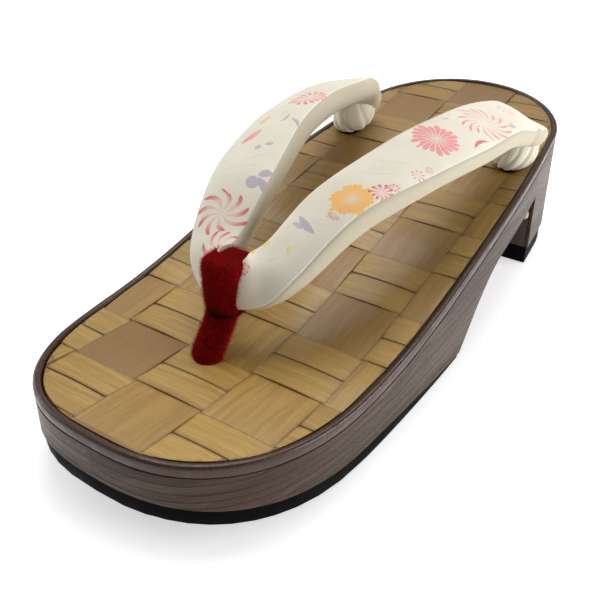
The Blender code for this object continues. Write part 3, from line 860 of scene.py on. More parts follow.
def inside_outline(x, y, inset):
    """Whether a point lies inside the outline moved inwards."""
    toe_centre, heel_centre = TOE_END + TOE_ROUND_LENGTH, HEEL_END - HEEL_ROUND_LENGTH
    wide = abs(x) / (half_width(y) - inset)
    if y < toe_centre:
        return wide ** TOE_POWER + ((toe_centre - y) / (TOE_ROUND_LENGTH - inset)) ** TOE_POWER < 1
    if y > heel_centre:
        return wide ** HEEL_POWER + ((y - heel_centre) / (HEEL_ROUND_LENGTH - inset)) ** HEEL_POWER < 1
    return wide < 1


def outline_block():
    """Upright solid inside the edging, to trim strips with."""
    points, _ = even_outline(200)
    inner = moved_outline(points, lambda i: RIM_WIDTH - 0.00010)
    return solid_from_outline([(x, y, 0.0) for x, y in inner], (0, 0, 0.1))


def strap_hole_x():
    """Distance of a rear hole from the middle line."""
    return half_width(STRAP_HOLE_Y) - STRAP_HOLE_INSET


def lay_strip(pattern, centre_x, centre_y, crosswise, half_cell, tone, turn, lift):
    """Copy a strip, bow it, turn it and set it on the footbed."""
    strip = copy_piece(pattern, "strip")
    cos, sin = math.cos(turn), math.sin(turn)
    slide = (random.random() * 3.0, random.random() * 3.0)
    layer = strip.data.uv_layers.active.data
    for loop in strip.data.loops:
        u, v = layer[loop.index].uv
        layer[loop.index].uv = (u + slide[0], v + slide[1])
    for value in strip.data.attributes["tone"].data:
        value.value = tone
    for vert in strip.data.vertices:
        along, across, depth = vert.co
        bow = STRIP_RISE * (1 - (along / half_cell) ** 2) - STRIP_RISE + lift
        bow += noise.noise(Vector((along * 160 + slide[0], across * 160 + slide[1], 0))) * 0.00006
        along, across = along * cos - across * sin, along * sin + across * cos
        x, y = (along, across) if crosswise else (across, along)
        x, y = centre_x + x, centre_y + y
        vert.co = (x, y, top_height(y) + bow + depth)
    if not crosswise:
        strip.data.flip_normals()
    return strip


def make_strips(material):
    """All strips of the weave, trimmed and joined into one mesh."""
    random.seed(5)
    wide = model_strip("wide_strip", CHECK_ALONG + 2 * STRIP_UNDERLAP, CHECK_ACROSS - STRIP_SPACE,
                       STRIP_FACES_WIDE)
    narrow = model_strip("narrow_strip", CHECK_ACROSS + 2 * STRIP_UNDERLAP, CHECK_ALONG / 2 - STRIP_SPACE,
                         STRIP_FACES_WIDE // 2)
    block = outline_block()
    punches = []
    rear_holes = [(side * strap_hole_x(), STRAP_HOLE_Y, STRAP_HOLE_RADIUS) for side in (1, -1)]
    for x, y, radius in (POST_HOLE, *rear_holes):
        punches.append((x, y, radius, primitive(bpy.ops.mesh.primitive_cylinder_add, vertices=32,
                                                radius=radius - HOLE_LAP, depth=FAR, location=(x, y, 0))))
    strips = []
    for row in range(-2, 11):
        for column in range(-2, 3):
            x = CHECK_SHIFT_X + CHECK_ACROSS * (column + 0.5)
            y = CHECK_SHIFT_Y + CHECK_ALONG * (row + 0.5)
            dark = DARK_AND_SHADED_STRIPS.get((column, row), 0.0)
            if (column + row) % 2:
                laid = [(wide, x, y, False, CHECK_ALONG / 2)]
            else:
                laid = [(narrow, x, y + side * CHECK_ALONG / 4, True, CHECK_ACROSS / 2) for side in (-1, 1)]
            for pattern, cx, cy, crosswise, half_cell in laid:
                # A listed cell's darkness, partly darker wood and partly painted shade, becomes its strips'
                # tone.
                tone = dark if dark else random.uniform(-0.20, 0.14) + (-0.06 if crosswise else 0.10)
                turn = random.uniform(-0.012, 0.012)
                strip = lay_strip(pattern, cx + random.uniform(-1, 1) * STRIP_WANDER,
                                  cy + random.uniform(-1, 1) * STRIP_WANDER,
                                  crosswise, half_cell, tone + random.uniform(-0.05, 0.05), turn,
                                  random.uniform(-1, 1) * 0.00006)
                within = [inside_outline(v.co.x, v.co.y, RIM_WIDTH) for v in strip.data.vertices]
                if not any(within):
                    bpy.data.objects.remove(strip)
                    continue
                if not all(within):
                    cut_away(strip, block, "INTERSECT")
                for px, py, radius, punch in punches:
                    if abs(px - cx) < half_cell + radius and abs(py - cy) < half_cell + radius:
                        cut_away(strip, punch)
                strips.append(strip)
    bpy.ops.object.select_all(action="DESELECT")
    for strip in strips:
        strip.select_set(True)
    bpy.context.view_layer.objects.active = strips[0]
    bpy.ops.object.join()
    weave = bpy.context.object
    weave.name = weave.data.name = "woven_strips"
    for helper in [wide, narrow, block] + [punch for _, _, _, punch in punches]:
        bpy.data.objects.remove(helper)
    soft_shade(weave, 35.0)
    print(len(strips), "strips")
    finish_piece(weave, material, "woven_veneer")


# %% Veneer material


def veneer_material():
    """Golden tan veneer under a satin varnish, with painted shade along the strips' edges and towards the
    heel.
    """
    material, tree, shader = new_material("golden veneer", 0.36, Coat_Roughness=0.22)
    flat = own_map(tree)
    tone = attribute(tree, "tone")
    edge = attribute(tree, "edge")
    grain = use_group(tree, GRAIN, {"Place": flat, "Fineness": 1.35, "Wander": 0.9})
    base = mix(tree, grain["Bands"], (0.340, 0.195, 0.038, 1), (0.500, 0.315, 0.066, 1))
    base = mix(tree, stretch(tree, tone, 0.0, 0.3, 0.0, 0.5), base, (0.275, 0.138, 0.032, 1))
    base = mix(tree, stretch(tree, tone, 0.0, -0.3, 0.0, 0.5), base, (0.560, 0.365, 0.090, 1))
    base = mix(tree, stretch(tree, tone, 0.25, 1.0, 0.0, 0.75), base, (0.235, 0.120, 0.028, 1))
    base = tinted(tree, grain["Streaks"], 0.42, base, (0.225, 0.118, 0.030, 1))
    base = tinted(tree, grain["Pores"], 0.65, base, (0.105, 0.048, 0.013, 1))
    # Painted shade: each strip darkens towards its edges, where the gaps between strips lie in shade.
    wobble = times(tree, less(tree, clouds(tree, flat, 900.0, 3.0), 0.5), 0.9)
    gap_shade = stretch(tree, plus(tree, edge, wobble), 0.05, 0.85, 0.62, 0.0)
    base = mix(tree, gap_shade, base, (0.120, 0.058, 0.018, 1))
    # Painted shade: the footbed darkens towards the heel.
    heelward_shade = add(tree, "SeparateXYZ", {0: own_place(tree)}).outputs["Y"]
    base = mix(tree, stretch(tree, heelward_shade, -0.06, 0.10, 0.0, 0.42), base, (0.180, 0.092, 0.024, 1))
    finish_surface(tree, shader, base, stretch(tree, grain["Streaks"], 0, 1, 0.32, 0.46),
                   stretch(tree, grain["Bands"], 0, 1, 0.10, 0.22))
    height = less(tree, times(tree, grain["Streaks"], 0.5), grain["Pores"])
    add_bump(tree, shader, height, 0.00005, 0.8)
    return material


def make_footbed():
    material = veneer_material()
    make_strips(material)
    base = copy_of_node("woven_top", "footbed_backing")
    for vert in base.data.vertices:
        level = top_height(vert.co.y)
        if vert.co.z > level - BACKING_DEPTH:
            vert.co.z -= BACKING_SINK
    soft_shade(base)
    backing, tree, shader = new_material("shaded backing veneer", 0.6)
    where = own_place(tree)
    feed(tree, shader.inputs["Base Color"],
         mix(tree, clouds(tree, scaled(tree, where, (2000.0, 200.0, 1.0)), 1.0),
             (0.105, 0.050, 0.014, 1), (0.180, 0.092, 0.027, 1)))
    finish_piece(base, backing, "woven_veneer", "woven_top")


make_footbed()

# %% [markdown]
# ## Padded strap
#
# The strap is a padded tube: printed crepe over the top, plain cloth round the sides, sewn together
# along both edges. It is folded once at the toe post and both ends are gathered into the rear holes.
# The sections of one arm stand in a short table; a grid is laid through them from one end to the
# other, so its map measures the cloth and the print can be charted on it. Soft troughs and ridges are
# then set one by one, where the padding gives.

# %% Strap form
STRAP_WIDTH = 0.0215
STRAP_THICKNESS = 0.0095
STRAP_RISE = 0.0284
# columns: share of the way from post hole to strap hole, share of the hole's distance from the middle,
# share of STRAP_RISE above the footbed, share of STRAP_WIDTH, share of STRAP_THICKNESS,
# tilt in degrees, heading in degrees
STRAP_ROWS = (
    (0.088, 0.000, 0.662, 0.64, 0.88, 84.0, 0.0),
    (0.108, 0.200, 0.680, 0.69, 0.92, 60.0, 26.0),
    (0.162, 0.340, 0.805, 0.79, 0.98, 20.0, 54.0),
    (0.307, 0.494, 1.058, 0.95, 1.12, 4.0, 72.0),
    (0.518, 0.713, 1.058, 1.02, 1.02, 13.9, 76.0),
    (0.706, 0.845, 0.930, 1.055, 1.05, 16.5, 81.5),
    (0.868, 0.906, 0.778, 1.055, 1.00, 14.0, 86.0),
    (0.983, 0.953, 0.577, 0.995, 1.00, 21.0, 85.0),
    (1.022, 0.994, 0.458, 0.90, 0.96, 16.0, 88.0),
    (1.062, 1.009, 0.325, 0.82, 0.90, 5.0, 90.0),
    (1.072, 1.012, 0.200, 0.66, 0.72, 0.0, 90.0),
    (1.064, 1.012, 0.115, 0.40, 0.44, 0.0, 90.0),
)
# columns: share of half the width, share of half the thickness, from mid face to mid underside
STRAP_SECTION = (
    (0.00, 1.00), (0.24, 0.99), (0.48, 0.955), (0.68, 0.895), (0.82, 0.825), (0.885, 0.765), (0.905, 0.690),
    (0.965, 0.620), (1.005, 0.400), (1.015, 0.120), (1.005, -0.180), (0.965, -0.480), (0.86, -0.730),
    (0.66, -0.880), (0.40, -0.960), (0.20, -0.990), (0.00, -1.00),
)
SEAM_PLACE = 6 / 16
SEAM_WIDTH = 0.012
SOFT_SWELL = 0.10
STRAP_COLUMNS = 264
STRAP_ROUND = 64
LAST_ROW = len(STRAP_ROWS) - 1
# Soft troughs and ridges in the padding
# columns: arm (1 right, -1 left), row along the arm, share round the section (0 mid face, 1 mid
# underside, negative towards the inner edge), half length in rows, half width in shares, depth in mm
# (negative is a ridge), slant
STRAP_FOLDS = (
    (1, 1.15, -0.30, 0.55, 0.20, -1.30, 0.10),
    (-1, 1.15, -0.30, 0.55, 0.20, -1.50, 0.10),
    (-1, 1.55, -0.05, 0.40, 0.16, -0.70, 0.20),
    (1, 1.30, 0.10, 0.35, 0.10, 0.55, 0.30),
    (1, 1.95, -0.05, 0.45, 0.07, 0.35, -0.25),
    (1, 2.70, 0.20, 0.60, 0.06, 0.25, 0.20),
    (1, 4.60, 0.52, 0.50, 0.08, 0.35, 0.10),
    (1, 6.20, 0.50, 0.60, 0.09, 0.45, -0.12),
    (1, 7.30, 0.55, 0.50, 0.07, 0.60, 0.20),
    (1, 8.00, 0.20, 0.60, 0.10, 0.45, 0.45),
    (1, 8.40, -0.20, 0.50, 0.08, 0.40, -0.40),
    (-1, 1.25, 0.05, 0.40, 0.12, 0.60, 0.30),
    (-1, 1.70, -0.15, 0.45, 0.08, 0.40, 0.35),
    (-1, 3.60, -0.52, 0.70, 0.08, 0.35, 0.05),
    (-1, 5.20, -0.50, 0.60, 0.08, 0.40, -0.10),
    (-1, 6.60, -0.48, 0.50, 0.09, 0.55, 0.15),
    (-1, 7.50, -0.40, 0.50, 0.08, 0.60, -0.30),
    (-1, 8.30, 0.05, 0.50, 0.10, 0.50, 0.30),
)


def strap_centre(place):
    """Middle of the strap's section at a place counted in rows, on the right arm."""
    if place < 0:
        mirrored = strap_centre(-place)
        return Vector((-mirrored.x, mirrored.y, mirrored.z))
    rows = ((STRAP_ROWS[1][0], -STRAP_ROWS[1][1]) + STRAP_ROWS[1][2:],) + STRAP_ROWS
    row = smooth_row(rows, place + 1)
    y = POST_HOLE[1] + (STRAP_HOLE_Y - POST_HOLE[1]) * row[0]
    return Vector((row[1] * strap_hole_x(), y, top_height(y) + row[2] * STRAP_RISE))


def strap_frame(place):
    """Centre, outward, upward and half sizes of the right arm's section at a place."""
    row = smooth_row(STRAP_ROWS, place)
    tilt, heading = math.radians(row[5]), math.radians(row[6])
    along = (strap_centre(place + 0.02) - strap_centre(place - 0.02)).normalized()
    if place == 0:
        along = Vector((1, 0, 0))
    level = Vector((math.sin(heading), -math.cos(heading), 0))
    across = level * math.cos(tilt) - Vector((0, 0, 1)) * math.sin(tilt)
    across = (across - along * across.dot(along)).normalized()
    up = across.cross(along)
    return strap_centre(place), across, up, row[3] * STRAP_WIDTH / 2, row[4] * STRAP_THICKNESS / 2


def strap_point(arm, place, turn):
    """Point on the strap. turn runs from 0 at mid face to 1 at mid underside, negative inwards."""
    centre, across, up, half_wide, half_thick = strap_frame(place)
    wide, thick = smooth_row(STRAP_SECTION, abs(turn) * (len(STRAP_SECTION) - 1))
    side = 1 if turn >= 0 else -1
    offset = across * (side * wide * half_wide) + up * (thick * half_thick)
    swell = 0.0
    for fold_arm, row, around, long, wide_, depth, slant in STRAP_FOLDS:
        if fold_arm == arm:
            a = (place - row) / long
            b = (turn - around - slant * (place - row) * 0.2) / wide_
            swell -= depth * math.exp(-a * a - b * b)
    round_way = math.pi * turn
    spot = (arm * 7.0 + place * 1.3, 1.4 * math.cos(round_way), 1.4 * math.sin(round_way))
    swell += SOFT_SWELL * noise.noise(Vector(spot))
    point = centre + offset + offset.normalized() * swell * 0.001
    return Vector((point.x * arm, point.y, point.z))


# The inner edge is crowded at the toe fold, so it is smoothed within this reach
FOLD_REACH = 0.014
FOLD_SMOOTHING = 24


def make_strap():
    """The folded strap, one grid from its left end over the toe fold to its right end."""
    ways = [0.0]
    steps = STRAP_COLUMNS // 2
    centres = [strap_frame(LAST_ROW * i / steps) for i in range(steps + 1)]
    for a, b in zip(centres, centres[1:]):
        ways.append(ways[-1] + (b[0] - a[0]).length)
    girths = []
    for _, _, _, half_wide, half_thick in centres:
        points = [smooth_row(STRAP_SECTION, k / 2) for k in range(2 * len(STRAP_SECTION) - 1)]
        runs = [0.0]
        for a, b in zip(points, points[1:]):
            runs.append(runs[-1] + math.hypot((b[0] - a[0]) * half_wide, (b[1] - a[1]) * half_thick))
        girths.append(runs)

    def split(u, v):
        i = round(u * STRAP_COLUMNS) - steps
        return (1 if i >= 0 else -1), abs(i), v * 2 - 1

    def place(u, v):
        arm, i, turn = split(u, v)
        return strap_point(arm, LAST_ROW * i / steps, turn)

    def flat(u, v):
        arm, i, turn = split(u, v)
        runs = girths[i]
        spot = abs(turn) * (len(runs) - 1)
        k = min(int(spot), len(runs) - 2)
        around = runs[k] + (runs[k + 1] - runs[k]) * (spot - k)
        return ways[i] * arm, around * (1 if turn >= 0 else -1)

    strap = shaped_grid("padded_strap", STRAP_COLUMNS, STRAP_ROUND, place, flat)
    around = strap.data.attributes.new("around", "FLOAT", "POINT")
    per_row = STRAP_COLUMNS + 1
    for vert in strap.data.vertices:
        around.data[vert.index].value = abs((vert.index // per_row) / STRAP_ROUND * 2 - 1)
    calm = strap.vertex_groups.new(name="fold")
    for vert in strap.data.vertices:
        reach = (vert.co - strap_centre(0)).length / FOLD_REACH
        calm.add([vert.index], math.exp(-reach ** 4), "REPLACE")
    apply_modifier(strap, "SMOOTH", factor=0.5, iterations=FOLD_SMOOTHING, vertex_group="fold")
    edit(strap, close_ends)
    soft_shade(strap, 70.0)
    print("strap length in mm", round(ways[-1] * 2000))
    return strap


STRAP = make_strap()

# %% [markdown]
# ## Crepe cloth and its print
#
# The strap's top is cream crepe, printed with chrysanthemums, leaves and thin stems in reds, pinks,
# lilac and gold. Each motif is drawn by a small node group from its own centre, size and turn on the
# cloth's map. Charting a few motifs one by one keeps them as sharp as ink from any distance.

# %% Crepe group


def make_crepe_group():
    """Fine uneven pebble of crepe cloth."""
    group, into, out = new_group("crepe", (("Place", "Vector", None),), (("Height", "Float"),))
    threads = scaled(group, into["Place"], (1900.0, 2500.0, 1.0))
    cells = add(group, "TexVoronoi", {"Vector": threads, "Scale": 1.0})
    soft = clouds(group, into["Place"], 1200.0, 3.0, 0.6)
    feed(group, out["Height"], plus(group, times(group, cells.outputs["Distance"], 0.6), soft))
    return group


CREPE = make_crepe_group()


def cloth_base(tree, shader):
    """Cream cloth with a little yellowing and the crepe relief. Returns its colour and its map."""
    flat = own_map(tree)
    crepe = use_group(tree, CREPE, {"Place": flat})
    tone = clouds(tree, flat, 55.0, 4.0)
    colour = mix(tree, stretch(tree, tone, 0.3, 0.7), (0.735, 0.690, 0.560, 1), (0.800, 0.765, 0.650, 1))
    add_bump(tree, shader, crepe["Height"], 0.00007, 0.8)
    return colour, flat


# %% Bloom and stroke groups


def from_middle(group, into):
    """Place on the cloth measured from a motif's middle, as two numbers in mm."""
    flat = add(group, "SeparateXYZ", {0: into["Place"]}).outputs
    return (less(group, flat["X"], into["Middle X"]),
            less(group, flat["Y"], into["Middle Y"]))


def make_bloom_group():
    """Ring of petals, each with its own length, curled round the middle."""
    group, into, out = new_group(
        "bloom",
        (("Place", "Vector", None), ("Middle X", "Float", 0.0), ("Middle Y", "Float", 0.0),
         ("Turn", "Float", 0.0), ("Petals", "Float", 12.0), ("Reach", "Float", 6.0),
         ("Width", "Float", 0.6), ("Curl", "Float", 0.0), ("Fan", "Float", 4.0)),
        (("Fill", "Float"), ("Tip", "Float"), ("Line", "Float")))
    x, y = from_middle(group, into)
    out_way = add(group, "VectorMath", {0: add(group, "CombineXYZ", {"X": x, "Y": y}).outputs[0]},
                  operation="LENGTH").outputs["Value"]
    share = sums(group, "DIVIDE", out_way, into["Reach"])
    curl = times(group, into["Curl"], sums(group, "POWER", share, 2.0))
    angle = less(group, plus(group, sums(group, "ARCTAN2", y, x), curl), into["Turn"])
    angle = sums(group, "WRAP", angle, math.pi, -math.pi)
    fan = stretch(group, less(group, sums(group, "ABSOLUTE", angle), into["Fan"]), 0.0, 0.1, 1.0, 0.0)
    cell = times(group, sums(group, "DIVIDE", angle, 2 * math.pi), into["Petals"])
    number = sums(group, "FLOOR", cell)
    from_side = sums(group, "ABSOLUTE", less(group, sums(group, "FRACT", cell), 0.5))
    from_side = times(group, from_side, 2.0)
    own = add(group, "CombineXYZ", {"X": number, "Y": into["Middle X"], "Z": into["Middle Y"]}).outputs[0]
    chance = add(group, "TexWhiteNoise", {"Vector": own}).outputs["Value"]
    share = sums(group, "DIVIDE", share, sums(group, "MULTIPLY_ADD", chance, 0.28, 0.72))
    round_tip = less(group, 1.0, sums(group, "POWER", share, 5.0), clamp=True)
    wide = times(group, sums(group, "SQRT", times(group, share, round_tip)), into["Width"])
    fill = stretch(group, less(group, wide, from_side), 0.0, 0.16)
    fill = times(group, fill, fan)
    fill = times(group, fill, stretch(group, share, 0.96, 1.0, 1.0, 0.0))
    edge = stretch(group, less(group, wide, from_side), 0.28, 0.05)
    feed(group, out["Fill"], fill)
    feed(group, out["Tip"], times(group, fill, stretch(group, share, 0.45, 0.92)))
    feed(group, out["Line"], times(group, fill, edge))
    return group


def make_stroke_group():
    """One brush stroke with pointed ends, straight or bent: a leaf, a stem, a bud or a dot."""
    group, into, out = new_group(
        "stroke",
        (("Place", "Vector", None), ("Middle X", "Float", 0.0), ("Middle Y", "Float", 0.0),
         ("Turn", "Float", 0.0), ("Half Length", "Float", 3.0), ("Half Width", "Float", 1.0),
         ("Bend", "Float", 0.0)),
        (("Fill", "Float"),))
    x, y = from_middle(group, into)
    cosine, sine = sums(group, "COSINE", into["Turn"]), sums(group, "SINE", into["Turn"])
    along = plus(group, times(group, x, cosine), times(group, y, sine))
    across = less(group, times(group, y, cosine), times(group, x, sine))
    share = sums(group, "POWER", sums(group, "DIVIDE", along, into["Half Length"]), 2.0)
    across = plus(group, across, times(group, share, into["Bend"]))
    wide = times(group, less(group, 1.0, share), into["Half Width"])
    feed(group, out["Fill"], stretch(group, less(group, wide, sums(group, "ABSOLUTE", across)), -0.05, 0.14))
    return group


BLOOM = make_bloom_group()
STROKE = make_stroke_group()

# %% Chart of the print, in mm on the cloth: along from the fold (right arm positive), across outwards
INKS = {
    "red": (0.620, 0.052, 0.070, 1), "rose": (0.760, 0.160, 0.185, 1), "pink": (0.830, 0.300, 0.315, 1),
    "blush": (0.850, 0.470, 0.450, 1), "gold": (0.900, 0.430, 0.055, 1), "straw": (0.900, 0.480, 0.100, 1),
    "yellow": (0.820, 0.640, 0.080, 1), "lilac": (0.430, 0.390, 0.470, 1), "grey": (0.520, 0.490, 0.450, 1),
}
# columns: along, across, turn in degrees, petals, reach, width, curl, half fan in radians, petal ink, tip ink
BLOOMS = (
    (-24.0, 0.2, 20, 9, 9.8, 0.62, 0.85, 4.0, "blush", "red"),
    (-10.5, -4.0, 30, 10, 8.6, 0.58, -0.95, 4.0, "blush", "red"),
    (-88.5, -4.8, 10, 15, 8.2, 0.85, 0.30, 4.0, "pink", "rose"),
    (5.6, -4.6, 0, 8, 2.0, 0.95, 0.40, 4.0, "blush", "rose"),
    (35.6, 4.4, 180, 26, 3.0, 0.75, 0.00, 1.1, "rose", "red"),
    (41.6, 4.0, 0, 26, 7.0, 1.55, 0.10, 4.0, "gold", "straw"),
    (49.2, 7.6, 40, 10, 3.9, 0.85, 0.20, 4.0, "pink", "red"),
    (53.6, 8.2, 10, 8, 2.0, 0.85, 0.00, 4.0, "pink", "rose"),
    (63.3, 7.8, 60, 8, 2.6, 0.65, 0.20, 4.0, "blush", "rose"),
    (67.9, 8.2, 10, 7, 1.5, 0.70, 0.00, 4.0, "pink", "rose"),
    (81.2, -0.8, 15, 19, 9.2, 1.25, 0.15, 4.0, "rose", "pink"),
    (105.5, 1.5, -20, 15, 11.0, 0.55, 0.75, 4.0, "blush", "rose"),
    (126.0, -1.5, 30, 9, 4.0, 0.60, 0.30, 4.0, "blush", "rose"),
)
# columns: along, across, turn in degrees, half length, half width, bend, ink, strength
STROKES = (
    (-36.9, -4.2, 40, 1.9, 1.2, 0.0, "lilac", 0.80), (-35.0, -4.8, 110, 1.9, 1.2, 0.0, "lilac", 0.80),
    (-36.3, -6.2, -10, 1.9, 1.1, 0.0, "lilac", 0.80), (-40.1, -7.6, 60, 2.4, 1.4, 0.3, "lilac", 0.85),
    (-35.6, -9.0, -55, 3.6, 1.5, 0.4, "lilac", 0.85), (-38.6, -7.0, 20, 2.6, 0.16, 0.3, "lilac", 0.70),
    (-41.6, 0.4, 71, 7.2, 0.14, 0.8, "grey", 0.65), (-46.3, -2.0, 54, 10.2, 0.14, 1.2, "grey", 0.65),
    (-47.6, -2.4, 30, 5.6, 0.13, -0.9, "grey", 0.55), (-51.4, -1.0, 10, 1.5, 1.0, 0.0, "lilac", 0.75),
    (-53.7, -4.0, 70, 1.6, 1.0, 0.0, "lilac", 0.75), (-50.6, -2.2, 40, 2.4, 0.14, 0.4, "grey", 0.65),
    (-58.6, 3.5, -163, 5.6, 1.5, 0.3, "pink", 0.75), (-56.6, 4.6, -150, 3.2, 0.7, 0.3, "rose", 0.55),
    (-70.5, 3.9, 10, 3.4, 1.3, 0.2, "straw", 0.70), (-70.4, -4.1, 12, 3.2, 0.65, -0.9, "lilac", 0.75),
    (-68.3, -8.6, -40, 3.2, 0.75, -0.8, "lilac", 0.80), (-75.5, -1.6, 20, 2.2, 0.5, 0.6, "lilac", 0.45),
    (-80.5, 3.0, 30, 4.0, 0.14, 1.0, "grey", 0.50), (16.6, -7.2, 20, 2.2, 1.0, 0.0, "yellow", 0.85),
    (10.8, -6.9, 10, 1.5, 0.8, 0.0, "yellow", 0.85), (19.6, 0.4, -40, 1.4, 0.8, 0.0, "yellow", 0.75),
    (14.4, -1.4, 25, 2.2, 0.35, 0.0, "yellow", 0.45), (28.3, -0.6, 107, 4.6, 1.15, 0.4, "lilac", 0.80),
    (27.3, -2.8, 95, 2.4, 0.8, -0.3, "lilac", 0.65), (25.4, -5.4, 42, 4.6, 0.14, 0.6, "grey", 0.65),
    (30.4, 2.8, 75, 3.6, 0.14, 0.5, "grey", 0.65), (31.6, 2.0, 60, 3.2, 0.12, -0.4, "grey", 0.50),
    (38.4, -6.4, 60, 2.7, 0.13, 0.3, "grey", 0.50), (61.6, -1.2, 52, 8.6, 0.15, 1.0, "grey", 0.65),
    (55.2, 1.2, 45, 9.0, 0.15, 1.1, "grey", 0.60), (93.4, 7.2, 0, 4.2, 0.75, -1.5, "red", 0.80),
    (114.8, 7.6, 25, 2.4, 0.9, 0.0, "lilac", 0.65), (115.6, 7.4, 110, 2.0, 0.8, 0.0, "lilac", 0.60),
    (94.4, -7.2, 30, 1.9, 0.7, 0.4, "lilac", 0.50), (98.5, -8.0, 0, 1.6, 0.5, 0.4, "blush", 0.60),
    (117.0, -6.5, 20, 3.2, 0.14, 0.8, "grey", 0.45),
)

# %% Printed crepe


def print_motifs(tree, colour, flat):
    """Lay all motifs of the chart over the cloth's colour, with slightly frayed edges."""
    wander = add(tree, "TexNoise", {"Vector": flat, "Scale": 1500.0, "Detail": 2.0}).outputs["Color"]
    spread = add(tree, "VectorMath", {0: wander, 1: (0.5, 0.5, 0.5)}, operation="SUBTRACT").outputs[0]
    frayed = add(tree, "VectorMath", {0: scaled(tree, spread, (0.5, 0.5, 0.0)),
                                      1: scaled(tree, flat, (1000.0, 1000.0, 1.0))},
                 operation="ADD").outputs[0]
    for along, across, turn, long, wide, bend, ink, strength in STROKES:
        drawn = use_group(tree, STROKE, {"Place": frayed, "Middle X": along, "Middle Y": across,
                                         "Turn": math.radians(turn), "Half Length": long, "Half Width": wide,
                                         "Bend": bend})
        colour = tinted(tree, drawn["Fill"], strength, colour, INKS[ink])
    for along, across, turn, petals, reach, wide, curl, fan, ink, tip in BLOOMS:
        drawn = use_group(tree, BLOOM, {"Place": frayed, "Middle X": along, "Middle Y": across,
                                        "Turn": math.radians(turn), "Petals": petals, "Reach": reach,
                                        "Width": wide, "Curl": curl, "Fan": fan})
        colour = tinted(tree, drawn["Fill"], 0.74, colour, INKS[ink])
        colour = tinted(tree, drawn["Tip"], 0.78, colour, INKS[tip])
        vein = INKS["straw" if ink == "gold" else "rose"]
        colour = tinted(tree, drawn["Line"], 0.35, colour, vein)
    return colour


def printed_material():
    """Cream crepe with the print on the strap's face only, and plain cloth beyond the seams, darker partly as
    its own duller cream and partly as painted shade.
    """
    material, tree, shader = new_material("printed crepe", 0.82, Sheen_Weight=0.15, Sheen_Roughness=0.5)
    colour, flat = cloth_base(tree, shader)
    around = attribute(tree, "around")
    printed = print_motifs(tree, colour, flat)
    # The plain cloth is darker than the face: partly its own duller cream, partly painted shade on the
    # strap's sides and underside.
    plain = mix(tree, 0.85, colour, (0.480, 0.425, 0.305, 1))
    colour = mix(tree, stretch(tree, around, SEAM_PLACE - SEAM_WIDTH, SEAM_PLACE), printed, plain)
    # A dark line along each stitched joint of face and side: the joint itself, with painted shade in its
    # fold.
    seam_and_fold_shade = sums(tree, "ABSOLUTE", less(tree, around, SEAM_PLACE + 0.004))
    colour = mix(tree, stretch(tree, seam_and_fold_shade, 0.0, 0.014, 0.45, 0.0), colour, (0.420, 0.370, 0.270, 1))
    feed(tree, shader.inputs["Base Color"], colour)
    return material


finish_piece(STRAP, printed_material(), "printed_cloth", "thong_straps")

# %% [markdown]
# ## Gathered ends
#
# Below each end the plain cloth is gathered into pleats and pulled down into its hole. A small grid
# is rolled into a tube; its radius swells and pinches, and pleats run down it, deepest at the hole.

# %% Gathered ends
GATHER_COLUMNS = 128
GATHER_ROWS = 36
GATHER_WIDTH = 0.0150
GATHER_LENGTH = 0.0200
GATHER_SHIFT = 0.0032
GATHER_ROOT = 7
GATHER_MAP = (0.055, 0.014)
# columns: share of the way from the footbed up into the strap, share of the gather's width and length
GATHER_LINE = (
    (0.00, 0.74), (0.05, 0.88), (0.13, 0.98), (0.26, 1.04), (0.40, 1.03), (0.56, 0.91), (0.78, 0.50),
)
# Folds pulled askew towards the hole
# columns: place round in turns, slant in turns, half width in turns, depth in mm
GATHER_FOLDS = (
    (0.62, 0.16, 0.016, 0.75), (0.70, 0.18, 0.014, 0.60), (0.79, 0.20, 0.018, 0.80),
    (0.88, 0.15, 0.014, 0.55), (0.95, 0.12, 0.016, 0.65), (0.04, 0.10, 0.018, 0.60),
    (0.15, 0.08, 0.015, 0.55), (0.27, -0.08, 0.018, 0.65), (0.38, -0.12, 0.015, 0.55),
    (0.50, 0.10, 0.017, 0.70),
)


def plain_cloth_material():
    """Unprinted cream cloth."""
    material, tree, shader = new_material("plain cream cloth", 0.85, Sheen_Weight=0.15, Sheen_Roughness=0.5)
    colour, _ = cloth_base(tree, shader)
    feed(tree, shader.inputs["Base Color"], mix(tree, 0.35, colour, (0.640, 0.590, 0.450, 1)))
    return material


def make_gather(side, material):
    """Puckered bag of cloth over one rear hole."""
    middle = Vector((side * strap_hole_x(), STRAP_HOLE_Y + GATHER_SHIFT))
    height = strap_centre(GATHER_ROOT).z - top_height(middle.y) - GAP

    def place(u, v):
        angle = 2 * math.pi * u
        size = smooth_row(GATHER_LINE, v * (len(GATHER_LINE) - 1))
        depth = 0.0
        for turn, slant, wide, deep in GATHER_FOLDS:
            off = (u - turn - slant * v + 0.5) % 1.0 - 0.5
            depth += deep * math.exp(-(off / wide) ** 2) * min(1.0, 1.35 - v)
            depth -= 0.35 * deep * math.exp(-((off - 2.2 * wide) / (1.4 * wide)) ** 2) * min(1.0, 1.35 - v)
        spot = (math.cos(angle) * 1.6 + side * 5, math.sin(angle) * 1.6, v * 1.5)
        depth += 0.30 * noise.noise(Vector(spot))
        x = middle.x + side * (GATHER_WIDTH / 2 * size[1] - depth * 0.001) * math.cos(angle)
        y = middle.y + (GATHER_LENGTH / 2 * size[1] - depth * 0.001) * math.sin(angle)
        return Vector((x, y, top_height(y) + GAP + size[0] * height))

    name = "gathered_end_right" if side > 0 else "gathered_end_left"
    gather = shaped_grid(name, GATHER_COLUMNS, GATHER_ROWS, place,
                         lambda u, v: (u * GATHER_MAP[0], v * GATHER_MAP[1]))
    edit(gather, close_ends)
    soft_shade(gather, 70.0)
    finish_piece(gather, material, "printed_cloth", "thong_straps")


